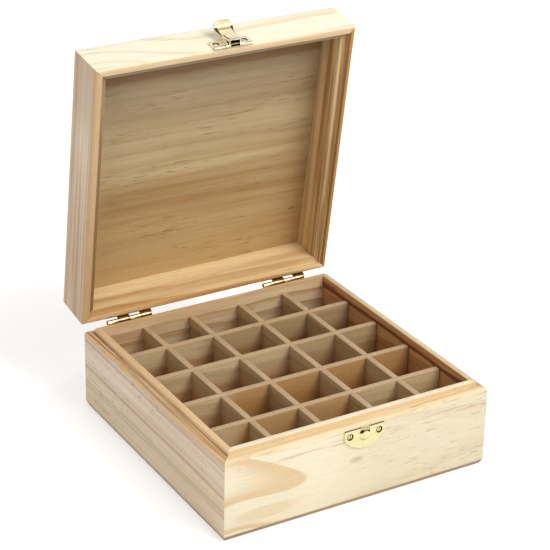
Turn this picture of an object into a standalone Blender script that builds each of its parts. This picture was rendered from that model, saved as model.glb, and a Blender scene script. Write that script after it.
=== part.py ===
"""A square pine box for 25 small oil bottles, with a hinged lid, a lift-out divider grid and a brass latch.

The origin is the centre of the underside, X runs to the right, Y to the back and Z up. The lid is
modelled closed and then turned back about its hinge axis, and the latch flap turns with it.
Across a wall, a place is given as its depth from the outer face of the box.
"""

import math

import bmesh
import bpy
from mathutils import Matrix, Vector

MM = 0.001

# Box
WIDTH = 200 * MM
DEPTH = 200 * MM
BASE_HEIGHT = 58.4 * MM
LID_HEIGHT = 32.5 * MM
BOARD = 9.4 * MM
BOTTOM_PANEL = 3.5 * MM
BOTTOM_BEVEL = 1.7 * MM
TOP_PANEL = 5.0 * MM
TOP_REBATE = 4.8 * MM

# Rim, where lid and base meet
RIM_ROUND = 3.0 * MM
LIP_THICKNESS = 4.0 * MM
LIP_HEIGHT = 3.4 * MM
LIP_ROUND = 1.3 * MM
REBATE_DEPTH = 4.0 * MM

# Gaps: between pieces that touch, and between the slats' ends and the walls
FIT = 0.3 * MM
SLAT_END_GAP = 0.6 * MM

# Divider grid
SLAT = 4.2 * MM
SLAT_TOP = 55.4 * MM
INNER_SLAT_OFFSET = 19.9 * MM
OUTER_SLAT_OFFSET = 57.0 * MM

# Butt hinges on the back
HINGE_INSET = 36.5 * MM
HINGE_LENGTH = 35 * MM
HINGE_KNUCKLES = 4
HINGE_BARREL = 3.0 * MM
HINGE_PIN = 1.4 * MM
HINGE_SETBACK = 2.45 * MM
LEAF_THICKNESS = 0.9 * MM
LEAF_REACH = 12 * MM
LEAF_PARTING = 0.4 * MM
LEAF_SCREW_SPREAD = 20 * MM
LEAF_SCREW_DROP = 7.5 * MM

# Latch plate, flap and pin on the lid
LATCH_X = 2.5 * MM
LATCH_WIDTH = 30 * MM
LATCH_PLATE_HEIGHT = 10.4 * MM
LATCH_PLATE_RISE = 0.4 * MM
LATCH_SHEET = 0.8 * MM
LATCH_CORNER = 0.8 * MM
LATCH_SCREW_SPREAD = 21.6 * MM
LATCH_SCREW_RISE = 5.8 * MM
LATCH_AXIS_OUT = 1.7 * MM
LATCH_AXIS_DROP = 0.2 * MM
LATCH_PIN = 1.0 * MM
LATCH_EYE = 2.4 * MM
EAR_WIDTH = 2.2 * MM
CHANNEL_WIDTH = 7.2 * MM
CHANNEL_OUT = 6.0 * MM
CHEEK_LENGTH = 4.6 * MM
FLAP_THICKNESS = 0.9 * MM
FLAP_LENGTH = 19.6 * MM
FLAP_DIP = 0.9 * MM
FLAP_TIP_RISE = 6.1 * MM
FLAP_SHOULDER = 13 * MM
FLAP_WAIST = 11 * MM
FLAP_TIP_WIDTH = 14.5 * MM
FLAP_END_WIDTH = 11.5 * MM

# Catch plate and hook on the base
CATCH_DROP = 3.0 * MM
CATCH_SIDE = 7.6 * MM
CATCH_SHOULDER = 1.4 * MM
CATCH_BELLY = 7.0 * MM
CATCH_SCREW_SPREAD = 22 * MM
CATCH_SCREW_DROP = 4.4 * MM
HOOK_WIDTH = 6.0 * MM
HOOK_REACH = 3.3 * MM
HOOK_RISE = 1.2 * MM
HOOK_TIP_HEIGHT = 0.6 * MM
BOSS_WIDTH = 9.2 * MM
BOSS_FACE = 4.6 * MM
BOSS_HEIGHT = 0.9 * MM
BOSS_DROP = 4.9 * MM
BOSS_TOP_DROP = 2.1 * MM

# Screws
SCREW_SHANK = 1.8 * MM
SCREW_LENGTH = 7.0 * MM
SCREW_HEAD = 4.2 * MM
SCREW_CROWN = 2.6 * MM
SCREW_HEAD_HEIGHT = 0.7 * MM
SCREW_HEAD_EDGE = 0.25 * MM
SCREW_TIP = 1.6 * MM
SCREW_SLOT = 0.6 * MM
SCREW_SLOT_DEPTH = 0.35 * MM

# Cuts run past the surface by this much, and welds join points closer than this
OVERRUN = 2 * MM
WELD = 0.0001 * MM

# How far the lid stands open, and how far each screw's slot is turned from the one before it
LID_OPEN = math.radians(81.4)
SLOT_TURN = math.radians(35)

# Edges sharper than this stay sharp in shading
SHARP = math.radians(30)

# Along the flap: shares of its length, of its dip and of the rise of its tip
FLAP_SHARES = (
    (0, 0, 0),
    (0.17, 0.5, 0),
    (0.25, 1, 0),
    (0.36, 1, 0),
    (0.55, 0.55, 0),
    (0.78, 0, 0.1),
    (0.91, 0, 0.28),
    (1, 0, 0.52),
    (0.99, 0, 0.8),
    (0.92, 0, 1),
)

# Places worked out from the sizes above
RIM_Z = BASE_HEIGHT + FIT
AXIS_Y = DEPTH / 2 + HINGE_SETBACK
HINGE_OFFSET = WIDTH / 2 - HINGE_INSET
LIP_DEPTH = BOARD - LIP_THICKNESS
MITRE_SETBACK = FIT / math.sqrt(2)
SLAT_OFFSETS = (-OUTER_SLAT_OFFSET, -INNER_SLAT_OFFSET, INNER_SLAT_OFFSET, OUTER_SLAT_OFFSET)
PLATE_FACE = FIT + LATCH_SHEET
CATCH_TOP = -FIT - CATCH_DROP

# The latch's own place, where the closed lid's rim meets the front, and its axis seen from there
LATCH_PLACE = Matrix.Translation((LATCH_X, -DEPTH / 2, RIM_Z))
LATCH_AXIS = Vector((0, -LATCH_AXIS_OUT, -LATCH_AXIS_DROP))

ROUND_STEPS = 24
SMALL_STEPS = 16


def clear_scene():
    for old in list(bpy.data.objects):
        bpy.data.objects.remove(old, do_unlink=True)


def new_material(name, colour, roughness, metallic=0.0):
    """A plain Principled material from an sRGB hex colour."""
    def linear(digits):
        value = int(digits, 16) / 255
        return value / 12.92 if value <= 0.04045 else ((value + 0.055) / 1.055) ** 2.4

    material = bpy.data.materials.new(name)
    material.use_nodes = True
    shader = material.node_tree.nodes["Principled BSDF"]
    rgb = [linear(colour[i:i + 2]) for i in (0, 2, 4)]
    shader.inputs["Base Color"].default_value = (*rgb, 1)
    shader.inputs["Roughness"].default_value = roughness
    shader.inputs["Metallic"].default_value = metallic
    return material


def add_object(name, mesh, material, place, parent=None):
    """An object in the box's collection at its place in the closed box, carried by its parent."""
    part = bpy.data.objects.new(name, mesh)
    PARTS.objects.link(part)
    mesh.materials.clear()
    mesh.materials.append(material)
    mesh.shade_smooth()
    mesh.set_sharp_from_angle(angle=SHARP)
    if parent:
        part.parent = parent
        part.matrix_parent_inverse = parent.matrix_world.inverted()
    part.matrix_basis = place
    return part


def add_pivot(name, place, parent=None):
    """An empty on a joint's axis, which carries the pieces that move about it."""
    pivot = bpy.data.objects.new(name, None)
    PARTS.objects.link(pivot)
    pivot.empty_display_size = BOARD
    if parent:
        pivot.parent = parent
        pivot.matrix_parent_inverse = parent.matrix_world.inverted()
    pivot.location = place
    bpy.context.view_layer.update()
    return pivot


def evaluated_mesh(holder):
    """The mesh of an object after its modifiers, with the object itself removed."""
    bpy.context.view_layer.update()
    result = bpy.data.meshes.new_from_object(holder.evaluated_get(bpy.context.evaluated_depsgraph_get()))
    bpy.data.objects.remove(holder, do_unlink=True)
    return result


def moved(mesh, matrix):
    mesh.transform(matrix)
    if matrix.determinant() < 0:
        mesh.flip_normals()
    return mesh


def prism(outline, thickness):
    """A closed outline in the XY plane as a plate, with half of its thickness to each side."""
    curve = bpy.data.curves.new("outline", "CURVE")
    curve.dimensions = "2D"
    curve.fill_mode = "BOTH"
    curve.extrude = thickness / 2
    spline = curve.splines.new("POLY")
    spline.points.add(len(outline) - 1)
    for point, (x, y) in zip(spline.points, outline):
        point.co = (x, y, 0, 1)
    spline.use_cyclic_u = True
    holder = bpy.data.objects.new("outline", curve)
    PARTS.objects.link(holder)
    mesh = evaluated_mesh(holder)
    shape = bmesh.new()
    shape.from_mesh(mesh)
    bmesh.ops.remove_doubles(shape, verts=shape.verts, dist=WELD)
    bmesh.ops.recalc_face_normals(shape, faces=shape.faces)
    shape.to_mesh(mesh)
    shape.free()
    return mesh


def block(low, high):
    """A box between two corners."""
    low, high = Vector(low), Vector(high)
    shape = bmesh.new()
    bmesh.ops.create_cube(shape, size=1)
    mesh = bpy.data.meshes.new("block")
    shape.to_mesh(mesh)
    shape.free()
    return moved(mesh, Matrix.Translation((low + high) / 2) @ Matrix.Diagonal((*(high - low), 1)))


def rod(centre, direction, diameter, length, steps=ROUND_STEPS):
    """A cylinder about its centre, along a direction."""
    shape = bmesh.new()
    bmesh.ops.create_cone(shape, cap_ends=True, segments=steps, radius1=diameter / 2,
                          radius2=diameter / 2, depth=length)
    mesh = bpy.data.meshes.new("rod")
    shape.to_mesh(mesh)
    shape.free()
    turn = Vector(direction).to_track_quat("Z", "Y").to_matrix().to_4x4()
    return moved(mesh, Matrix.Translation(centre) @ turn)


def combined(mesh, other, operation):
    """The first mesh with the other one joined to it or cut from it."""
    holder = bpy.data.objects.new("holder", mesh)
    tool = bpy.data.objects.new("tool", other)
    PARTS.objects.link(holder)
    PARTS.objects.link(tool)
    change = holder.modifiers.new("change", "BOOLEAN")
    change.object = tool
    change.operation = operation
    change.solver = "EXACT"
    result = evaluated_mesh(holder)
    bpy.data.objects.remove(tool, do_unlink=True)
    return result


def cut(mesh, *tools):
    for tool in tools:
        mesh = combined(mesh, tool, "DIFFERENCE")
    return mesh


def joined(mesh, *others):
    for other in others:
        mesh = combined(mesh, other, "UNION")
    return mesh


def arc(centre, radius, start, end, steps):
    """Points along an arc, from one angle in degrees to another."""
    angles = [math.radians(start + (end - start) * i / steps) for i in range(steps + 1)]
    return [(centre[0] + radius * math.cos(a), centre[1] + radius * math.sin(a)) for a in angles]


def rounded_rectangle(low, high, radius):
    """A rectangle's outline with round corners, anticlockwise."""
    (left, bottom), (right, top) = low, high
    corners = (
        ((right - radius, bottom + radius), -90),
        ((right - radius, top - radius), 0),
        ((left + radius, top - radius), 90),
        ((left + radius, bottom + radius), 180),
    )
    return [point for centre, start in corners for point in arc(centre, radius, start, start + 90, 3)]


# Boards and panels


def mitred_board(profile, length):
    """A board with mitred ends, whose section is given as depth from the outer face and height.

    It stands at the front of the box. Each end point is drawn in by its depth, and by half of
    the gap that the mitre keeps.
    """
    mesh = prism(profile, length)
    for vertex in mesh.vertices:
        depth, height, along = vertex.co
        inset = length / 2 - depth - MITRE_SETBACK
        vertex.co = (math.copysign(inset, along), depth, height)
    shape = bmesh.new()
    shape.from_mesh(mesh)
    bmesh.ops.recalc_face_normals(shape, faces=shape.faces)
    shape.to_mesh(mesh)
    shape.free()
    return mesh


def side_place(side):
    """Turns a board from the front to its side of the box."""
    turns = {"front": 0, "right": 90, "back": 180, "left": 270}
    reach = WIDTH / 2 if side in ("left", "right") else DEPTH / 2
    turn = Matrix.Rotation(math.radians(turns[side]), 4, "Z")
    return turn @ Matrix.Translation((0, -reach, 0))


def side_length(side):
    return DEPTH if side in ("left", "right") else WIDTH


def base_profile():
    """A base board's section: rounded outside, with a shelf and a lip that stands up inside."""
    top = BASE_HEIGHT + LIP_HEIGHT
    foot = BOTTOM_PANEL + FIT
    lip_round = arc((LIP_DEPTH + LIP_ROUND, top - LIP_ROUND), LIP_ROUND, 90, 180, 3)
    shelf_round = arc((RIM_ROUND, BASE_HEIGHT - RIM_ROUND), RIM_ROUND, 90, 180, 5)
    inside = [(0, foot), (BOARD, foot), (BOARD, top)]
    return inside + lip_round + [(LIP_DEPTH, BASE_HEIGHT)] + shelf_round


def lid_profile():
    """A lid board's section: rounded outside, rebated below for the lip and above for the panel."""
    lip_rebate = LIP_DEPTH - FIT
    panel_rebate = BOARD - TOP_REBATE
    top = RIM_Z + LID_HEIGHT
    return arc((RIM_ROUND, RIM_Z + RIM_ROUND), RIM_ROUND, 180, 270, 5) + [
        (lip_rebate, RIM_Z),
        (lip_rebate, RIM_Z + REBATE_DEPTH),
        (BOARD, RIM_Z + REBATE_DEPTH),
        (BOARD, top - TOP_PANEL - FIT),
        (panel_rebate, top - TOP_PANEL - FIT),
        (panel_rebate, top),
        (0, top),
    ]


def pilot_holes(spots, place):
    """Holes for screws' shanks in a board, started outside its outer face."""
    length = SCREW_LENGTH + OVERRUN + FIT
    middle = Vector((0, length / 2 - OVERRUN, 0))
    width = SCREW_SHANK + 2 * FIT
    return [rod(place.inverted() @ spot + middle, (0, 1, 0), width, length, SMALL_STEPS) for spot in spots]


def base_board(side):
    place = side_place(side)
    mesh = mitred_board(base_profile(), side_length(side))
    if side == "front":
        mesh = cut(mesh, *pilot_holes(catch_screw_spots(), place))
    if side == "back":
        mesh = cut(mesh, *pilot_holes(leaf_screw_spots(-1), place))
    add_object("base_" + side + "_board", mesh, PINE, place)


def lid_board(side, parent):
    place = side_place(side)
    mesh = mitred_board(lid_profile(), side_length(side))
    if side == "front":
        mesh = cut(mesh, *pilot_holes(latch_screw_spots(), place))
    if side == "back":
        mesh = cut(mesh, *pilot_holes(leaf_screw_spots(1), place))
    add_object("lid_" + side + "_board", mesh, PINE, place, parent)


def add_bottom_panel():
    """A panel under the boards, whose edge is drawn in towards the underside."""
    mesh = block((-WIDTH / 2, -DEPTH / 2, 0), (WIDTH / 2, DEPTH / 2, BOTTOM_PANEL))
    for vertex in mesh.vertices:
        if vertex.co.z < BOTTOM_PANEL / 2:
            vertex.co.x -= math.copysign(BOTTOM_BEVEL, vertex.co.x)
            vertex.co.y -= math.copysign(BOTTOM_BEVEL, vertex.co.y)
    add_object("bottom_panel", mesh, PLYWOOD, Matrix())


def add_lid_panel(parent):
    """A panel set flush into the rebate on top of the lid's boards."""
    inset = BOARD - TOP_REBATE + FIT
    low = (inset - WIDTH / 2, inset - DEPTH / 2, -TOP_PANEL)
    high = (WIDTH / 2 - inset, DEPTH / 2 - inset, 0)
    place = Matrix.Translation((0, 0, RIM_Z + LID_HEIGHT))
    add_object("lid_panel", block(low, high), PINE, place, parent)


# Divider grid


def slat(name, across, runs_along_x, parent):
    """One thin slat with a halving joint at each crossing: from below if it runs left to right."""
    inner = (WIDTH if runs_along_x else DEPTH) / 2 - BOARD
    reach = inner - SLAT_END_GAP
    foot = BOTTOM_PANEL + FIT
    middle = (foot + SLAT_TOP) / 2
    low, high = (-reach, -SLAT / 2, foot), (reach, SLAT / 2, SLAT_TOP)
    mesh = block(low, high)
    slot = SLAT / 2 + FIT
    for offset in SLAT_OFFSETS:
        if runs_along_x:
            span = (foot - OVERRUN, middle + FIT / 2)
        else:
            span = (middle - FIT / 2, SLAT_TOP + OVERRUN)
        mesh = cut(mesh, block((offset - slot, -SLAT, span[0]), (offset + slot, SLAT, span[1])))
    if runs_along_x:
        place = Matrix.Translation((0, across, 0))
    else:
        place = Matrix.Translation((across, 0, 0)) @ Matrix.Rotation(math.radians(90), 4, "Z")
    add_object(name, mesh, SLATWOOD, place, parent)


# Screws


def screw_mesh():
    """A round-headed screw, with the underside of its head at the origin and its shank down -Z."""
    head, shank = SCREW_HEAD / 2, SCREW_SHANK / 2
    profile = [
        (0, SCREW_HEAD_HEIGHT),
        (SCREW_CROWN / 2, SCREW_HEAD_HEIGHT - SCREW_HEAD_EDGE / 2),
        (head, SCREW_HEAD_EDGE),
        (head, 0),
        (shank, 0),
        (shank, SCREW_TIP - SCREW_LENGTH),
        (0, -SCREW_LENGTH),
    ]
    mesh = bpy.data.meshes.new("screw")
    edges = [(i, i + 1) for i in range(len(profile) - 1)]
    mesh.from_pydata([(x, 0, z) for x, z in profile], edges, [])
    holder = bpy.data.objects.new("screw", mesh)
    PARTS.objects.link(holder)
    turn = holder.modifiers.new("turn", "SCREW")
    turn.steps = turn.render_steps = SMALL_STEPS
    turn.use_merge_vertices = True
    turn.merge_threshold = WELD
    turned = evaluated_mesh(holder)
    slot = block((-head, -SCREW_SLOT / 2, SCREW_HEAD_HEIGHT - SCREW_SLOT_DEPTH),
                 (head, SCREW_SLOT / 2, SCREW_HEAD_HEIGHT + OVERRUN))
    return cut(turned, slot)


def add_screws(prefix, spots, direction, depth, mesh, parent=None):
    """A screw at each spot, this far out from the wood, with its slot turned a little."""
    out = Vector(direction)
    turn = out.to_track_quat("Z", "Y").to_matrix().to_4x4()
    for number, spot in enumerate(spots, 1):
        place = Matrix.Translation(spot + depth * out) @ turn
        spin = Matrix.Rotation(number * SLOT_TURN, 4, "Z")
        add_object(prefix + "_" + str(number), mesh, BRASS, place @ spin, parent)


# Hinges


def leaf_screw_spots(side):
    """Where screws go through the hinge leaves: side is 1 on the lid and -1 on the base."""
    offsets = (HINGE_OFFSET - LEAF_SCREW_SPREAD / 2, HINGE_OFFSET + LEAF_SCREW_SPREAD / 2)
    height = RIM_Z + side * LEAF_SCREW_DROP
    return [Vector((sign * x, DEPTH / 2, height)) for sign in (-1, 1) for x in offsets]


def hinge_leaf(side):
    """One leaf about the pin's middle: a plate on the back, with every other knuckle its own."""
    near = FIT - HINGE_SETBACK
    edges = sorted((side * LEAF_PARTING / 2, side * LEAF_REACH))
    reach = HINGE_LENGTH / 2
    mesh = block((-reach, near, edges[0]), (reach, near + LEAF_THICKNESS, edges[1]))
    pitch = HINGE_LENGTH / HINGE_KNUCKLES
    middles = [pitch * (knuckle + 0.5) - reach for knuckle in range(HINGE_KNUCKLES)]
    first_own = 0 if side < 0 else 1
    own, others = middles[first_own::2], middles[1 - first_own::2]
    around = HINGE_BARREL + 2 * FIT
    mesh = cut(mesh, *[rod((x, 0, 0), (1, 0, 0), around, pitch + FIT) for x in others])
    mesh = joined(mesh, *[rod((x, 0, 0), (1, 0, 0), HINGE_BARREL, pitch - FIT) for x in own])
    bore = rod((0, 0, 0), (1, 0, 0), HINGE_PIN + 2 * FIT, HINGE_LENGTH + OVERRUN)
    spread = LEAF_SCREW_SPREAD / 2
    holes = [screw_clearance((x, near, side * LEAF_SCREW_DROP)) for x in (-spread, spread)]
    return cut(mesh, bore, *holes)


def screw_clearance(middle):
    """A hole from front to back through sheet metal, for a screw's shank."""
    return rod(middle, (0, 1, 0), SCREW_SHANK + 2 * FIT, OVERRUN * 2, SMALL_STEPS)


def add_hinges(lid):
    """Both hinges, whose leaves and pins are copies of the same meshes."""
    base_leaf, lid_leaf = hinge_leaf(-1), hinge_leaf(1)
    pin = rod((0, 0, 0), (1, 0, 0), HINGE_PIN, HINGE_LENGTH, SMALL_STEPS)
    for label, x in (("left", -HINGE_OFFSET), ("right", HINGE_OFFSET)):
        place = Matrix.Translation((x, AXIS_Y, RIM_Z))
        add_object(label + "_hinge_base_leaf", base_leaf, BRASS, place)
        add_object(label + "_hinge_lid_leaf", lid_leaf, BRASS, place, lid)
        add_object(label + "_hinge_pin", pin, BRASS, place)


# Latch


def latch_screw_spots():
    height = LATCH_PLATE_RISE + LATCH_SCREW_RISE
    return [LATCH_PLACE @ Vector((sign * LATCH_SCREW_SPREAD / 2, 0, height)) for sign in (-1, 1)]


def side_plate(outline, x, thickness):
    """A plate that lies across X, from an outline of how far out from the front, and height."""
    across = Matrix(((0, 0, 1, x), (-1, 0, 0, 0), (0, 1, 0, 0), (0, 0, 0, 1)))
    return moved(prism(outline, thickness), across)


def front_plate(outline, near, thickness):
    """A plate that lies on the front, from an outline of X and height."""
    middle = -near - thickness / 2
    upright = Matrix(((1, 0, 0, 0), (0, 0, -1, middle), (0, 1, 0, 0), (0, 0, 0, 1)))
    return moved(prism(outline, thickness), upright)


def latch_pin_hole():
    return rod(LATCH_AXIS, (1, 0, 0), LATCH_PIN + 2 * FIT, LATCH_WIDTH, SMALL_STEPS)


def cheek_middle():
    """How far from the middle the flap's cheeks stand."""
    return (CHANNEL_WIDTH + FLAP_THICKNESS) / 2


def ear_inside():
    """Where an ear starts, outside the flap's cheek and a gap."""
    return CHANNEL_WIDTH / 2 + FLAP_THICKNESS + FIT


def add_latch_plate(lid):
    """The plate on the lid, with two ears rolled round the flap's pin at the rim."""
    low = (-LATCH_WIDTH / 2, LATCH_PLATE_RISE)
    high = (LATCH_WIDTH / 2, LATCH_PLATE_RISE + LATCH_PLATE_HEIGHT)
    mesh = front_plate(rounded_rectangle(low, high, LATCH_CORNER), FIT, LATCH_SHEET)
    for sign in (-1, 1):
        cheek = LATCH_AXIS + Vector((sign * cheek_middle(), 0, 0))
        mesh = cut(mesh, rod(cheek, (1, 0, 0), LATCH_EYE + 2 * FIT, FLAP_THICKNESS + 2 * FIT))
    for sign in (-1, 1):
        ear = LATCH_AXIS + Vector((sign * (ear_inside() + EAR_WIDTH / 2), 0, 0))
        low = (ear.x - EAR_WIDTH / 2, -PLATE_FACE, ear.z)
        high = (ear.x + EAR_WIDTH / 2, -FIT, ear.z + LATCH_EYE / 2)
        mesh = joined(mesh, block(low, high), rod(ear, (1, 0, 0), LATCH_EYE, EAR_WIDTH))
    holes = [screw_clearance(LATCH_PLACE.inverted() @ spot) for spot in latch_screw_spots()]
    add_object("latch_plate", cut(mesh, latch_pin_hole(), *holes), BRASS, LATCH_PLACE, lid)


def channel_front():
    """Height of the flap's front edge, which misses the catch when the flap hangs down."""
    return PLATE_FACE + FIT - LATCH_AXIS_OUT - LATCH_AXIS_DROP


def flap_sheet():
    """The flap's sheet, lofted from the channel to the tip and thickened."""
    root = CHANNEL_WIDTH + 2 * FLAP_THICKNESS
    widths = (root, root, FLAP_SHOULDER, FLAP_SHOULDER, FLAP_WAIST, FLAP_WAIST,
              FLAP_TIP_WIDTH, FLAP_TIP_WIDTH, FLAP_TIP_WIDTH, FLAP_END_WIDTH)
    shape = bmesh.new()
    rows = []
    for width, (along, dip, rise) in zip(widths, FLAP_SHARES):
        out = CHANNEL_OUT - dip * FLAP_DIP + rise * FLAP_TIP_RISE
        height = channel_front() + along * FLAP_LENGTH
        rows.append([shape.verts.new((sign * width / 2, -out, height)) for sign in (-1, 1)])
    for before, after in zip(rows, rows[1:]):
        shape.faces.new((before[0], before[1], after[1], after[0]))
    mesh = bpy.data.meshes.new("sheet")
    shape.to_mesh(mesh)
    shape.free()
    holder = bpy.data.objects.new("sheet", mesh)
    PARTS.objects.link(holder)
    thicken = holder.modifiers.new("thicken", "SOLIDIFY")
    thicken.thickness = FLAP_THICKNESS
    thicken.offset = 0
    return evaluated_mesh(holder)


def add_latch_flap(pivot):
    """The flap: a sheet with two cheeks folded down to the pin, which make a channel for the hook."""
    front = channel_front()
    cheek = arc((LATCH_AXIS_OUT, -LATCH_AXIS_DROP), LATCH_EYE / 2, 90, 270, 9) + [
        (LATCH_AXIS_OUT + LATCH_EYE, front),
        (CHANNEL_OUT, front),
        (CHANNEL_OUT - FLAP_DIP, CHEEK_LENGTH),
    ]
    mesh = flap_sheet()
    for sign in (-1, 1):
        mesh = joined(mesh, side_plate(cheek, sign * cheek_middle(), FLAP_THICKNESS))
    add_object("latch_flap", cut(mesh, latch_pin_hole()), BRASS, LATCH_PLACE, pivot)


def add_latch_pin(lid):
    length = 2 * (ear_inside() + EAR_WIDTH)
    pin = rod((0, 0, 0), (1, 0, 0), LATCH_PIN, length, SMALL_STEPS)
    add_object("latch_pin", pin, BRASS, LATCH_PLACE @ Matrix.Translation(LATCH_AXIS), lid)


# Catch


def catch_screw_spots():
    height = CATCH_TOP - CATCH_SCREW_DROP
    return [LATCH_PLACE @ Vector((sign * CATCH_SCREW_SPREAD / 2, 0, height)) for sign in (-1, 1)]


def catch_outline():
    """The catch plate's outline: square above, with a half-round belly between two shoulders."""
    half = LATCH_WIDTH / 2
    chord = half - CATCH_SHOULDER
    side = CATCH_TOP - CATCH_SIDE
    shoulder = side - CATCH_SHOULDER / 4
    radius = (chord ** 2 + CATCH_BELLY ** 2) / (2 * CATCH_BELLY)
    sweep = math.degrees(math.asin(chord / radius))
    belly = arc((0, shoulder - CATCH_BELLY + radius), radius, 270 - sweep, 270 + sweep, 20)
    return [(half, CATCH_TOP), (-half, CATCH_TOP), (-half, side)] + belly + [(half, side)]


def catch_hook():
    """A tab bent out over the flap's edge, which slopes down to its tip."""
    inner, outer = FIT + LATCH_SHEET / 4, PLATE_FACE - LATCH_SHEET / 4
    tip = CATCH_TOP + HOOK_TIP_HEIGHT
    root = CATCH_TOP + HOOK_RISE
    outline = [
        (inner, CATCH_TOP - LATCH_SHEET),
        (outer, CATCH_TOP - LATCH_SHEET),
        (outer, root - LATCH_SHEET),
        (FIT + HOOK_REACH, tip - LATCH_SHEET),
        (FIT + HOOK_REACH, tip),
        (outer, root),
        (inner, root),
    ]
    return side_plate(outline, 0, HOOK_WIDTH)


def catch_boss():
    """A low round boss below the hook, cut flat above to let the flap's edge in."""
    shape = bmesh.new()
    bmesh.ops.create_cone(shape, cap_ends=True, segments=ROUND_STEPS, radius1=BOSS_WIDTH / 2,
                          radius2=BOSS_FACE / 2, depth=BOSS_HEIGHT + LATCH_SHEET / 2)
    boss = bpy.data.meshes.new("boss")
    shape.to_mesh(boss)
    shape.free()
    middle = LATCH_SHEET / 4 - PLATE_FACE - BOSS_HEIGHT / 2
    facing = Matrix.Rotation(math.radians(90), 4, "X")
    moved(boss, Matrix.Translation((0, middle, CATCH_TOP - BOSS_DROP)) @ facing)
    flat = CATCH_TOP - BOSS_TOP_DROP
    low = (-BOSS_WIDTH, -PLATE_FACE - BOSS_HEIGHT - OVERRUN, flat)
    high = (BOSS_WIDTH, 0, flat + BOSS_WIDTH)
    return cut(boss, block(low, high))


def add_catch_plate():
    """The plate on the base, with its boss and the hook for the flap."""
    mesh = front_plate(catch_outline(), FIT, LATCH_SHEET)
    holes = [screw_clearance(LATCH_PLACE.inverted() @ spot) for spot in catch_screw_spots()]
    mesh = cut(joined(mesh, catch_hook(), catch_boss()), *holes)
    add_object("catch_plate", mesh, BRASS, LATCH_PLACE)


# The whole box

clear_scene()
PARTS = bpy.data.collections.new("oil_bottle_box")
bpy.context.scene.collection.children.link(PARTS)
PINE = new_material("pine", "EBD5AC", 0.6)
PLYWOOD = new_material("plywood", "B59C74", 0.7)
SLATWOOD = new_material("slatwood", "C6A985", 0.7)
BRASS = new_material("brass", "D8BE6A", 0.3, 1.0)

lid_pivot = add_pivot("lid_pivot", (0, AXIS_Y, RIM_Z))
flap_pivot = add_pivot("flap_pivot", LATCH_PLACE @ LATCH_AXIS, lid_pivot)
grid_foot = add_pivot("grid_foot", (0, 0, BOTTOM_PANEL))

for box_side in ("front", "back", "left", "right"):
    base_board(box_side)
    lid_board(box_side, lid_pivot)
add_bottom_panel()
add_lid_panel(lid_pivot)

for slat_number, slat_offset in enumerate(SLAT_OFFSETS, 1):
    slat("cross_slat_" + str(slat_number), slat_offset, True, grid_foot)
    slat("long_slat_" + str(slat_number), slat_offset, False, grid_foot)

add_hinges(lid_pivot)
add_latch_plate(lid_pivot)
add_latch_flap(flap_pivot)
add_latch_pin(lid_pivot)
add_catch_plate()

screw = screw_mesh()
leaf_depth = FIT + LEAF_THICKNESS + FIT
plate_depth = PLATE_FACE + FIT
add_screws("hinge_base_screw", leaf_screw_spots(-1), (0, 1, 0), leaf_depth, screw)
add_screws("hinge_lid_screw", leaf_screw_spots(1), (0, 1, 0), leaf_depth, screw, lid_pivot)
add_screws("catch_screw", catch_screw_spots(), (0, -1, 0), plate_depth, screw)
add_screws("latch_screw", latch_screw_spots(), (0, -1, 0), plate_depth, screw, lid_pivot)

# The lid stands open
lid_pivot.rotation_euler.x = -LID_OPEN
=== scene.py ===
import math

import bmesh
import bpy
from mathutils import Matrix, Vector


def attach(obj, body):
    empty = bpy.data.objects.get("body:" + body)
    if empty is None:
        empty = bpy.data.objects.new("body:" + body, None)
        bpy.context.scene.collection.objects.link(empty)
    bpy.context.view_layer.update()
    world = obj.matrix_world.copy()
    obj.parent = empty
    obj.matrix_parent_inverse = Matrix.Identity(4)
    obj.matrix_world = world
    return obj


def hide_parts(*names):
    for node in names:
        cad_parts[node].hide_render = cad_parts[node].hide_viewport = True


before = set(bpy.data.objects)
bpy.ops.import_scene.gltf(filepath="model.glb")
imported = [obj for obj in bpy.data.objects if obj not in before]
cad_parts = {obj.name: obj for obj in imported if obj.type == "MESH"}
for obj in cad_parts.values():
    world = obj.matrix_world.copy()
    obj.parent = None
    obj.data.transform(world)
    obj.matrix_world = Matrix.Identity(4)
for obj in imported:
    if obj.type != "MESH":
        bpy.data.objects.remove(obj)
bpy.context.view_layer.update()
bpy.context.scene.view_settings.view_transform = "Standard"


# Camera
# It stands in front of the box's left corner, looks down on it at 24 degrees through a long lens,
# and is shifted because the photograph was cropped off centre.

MM = 0.001
VIEW_PIXELS = 550
FOCAL_PIXELS = 1912.0
SHIFT_RIGHT = 62.4
SHIFT_UP = -62.6
SENSOR = 36.0
CAMERA_AT = (-600.8 * MM, -981.8 * MM, 673.0 * MM)
CAMERA_TURN = -29.13
CAMERA_TILT = 66.23
CAMERA_ROLL = 0.35

camera_lens = bpy.data.cameras.new("camera")
camera_lens.sensor_width = SENSOR
camera_lens.lens = SENSOR * FOCAL_PIXELS / VIEW_PIXELS
camera_lens.shift_x = SHIFT_RIGHT / VIEW_PIXELS
camera_lens.shift_y = SHIFT_UP / VIEW_PIXELS
camera = bpy.data.objects.new("camera", camera_lens)
bpy.context.collection.objects.link(camera)
camera.location = CAMERA_AT
aim = Matrix.Rotation(math.radians(CAMERA_TURN), 3, "Z") @ Matrix.Rotation(math.radians(CAMERA_TILT), 3, "X")
camera.rotation_euler = (aim @ Matrix.Rotation(math.radians(CAMERA_ROLL), 3, "Z")).to_euler()
bpy.context.scene.camera = camera


# Table and studio light
# A white sweep that the camera sees as plain white, a large soft lamp high on the front right and a
# weak one on the left. The insides of the cells get little but the even light of the room.

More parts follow.
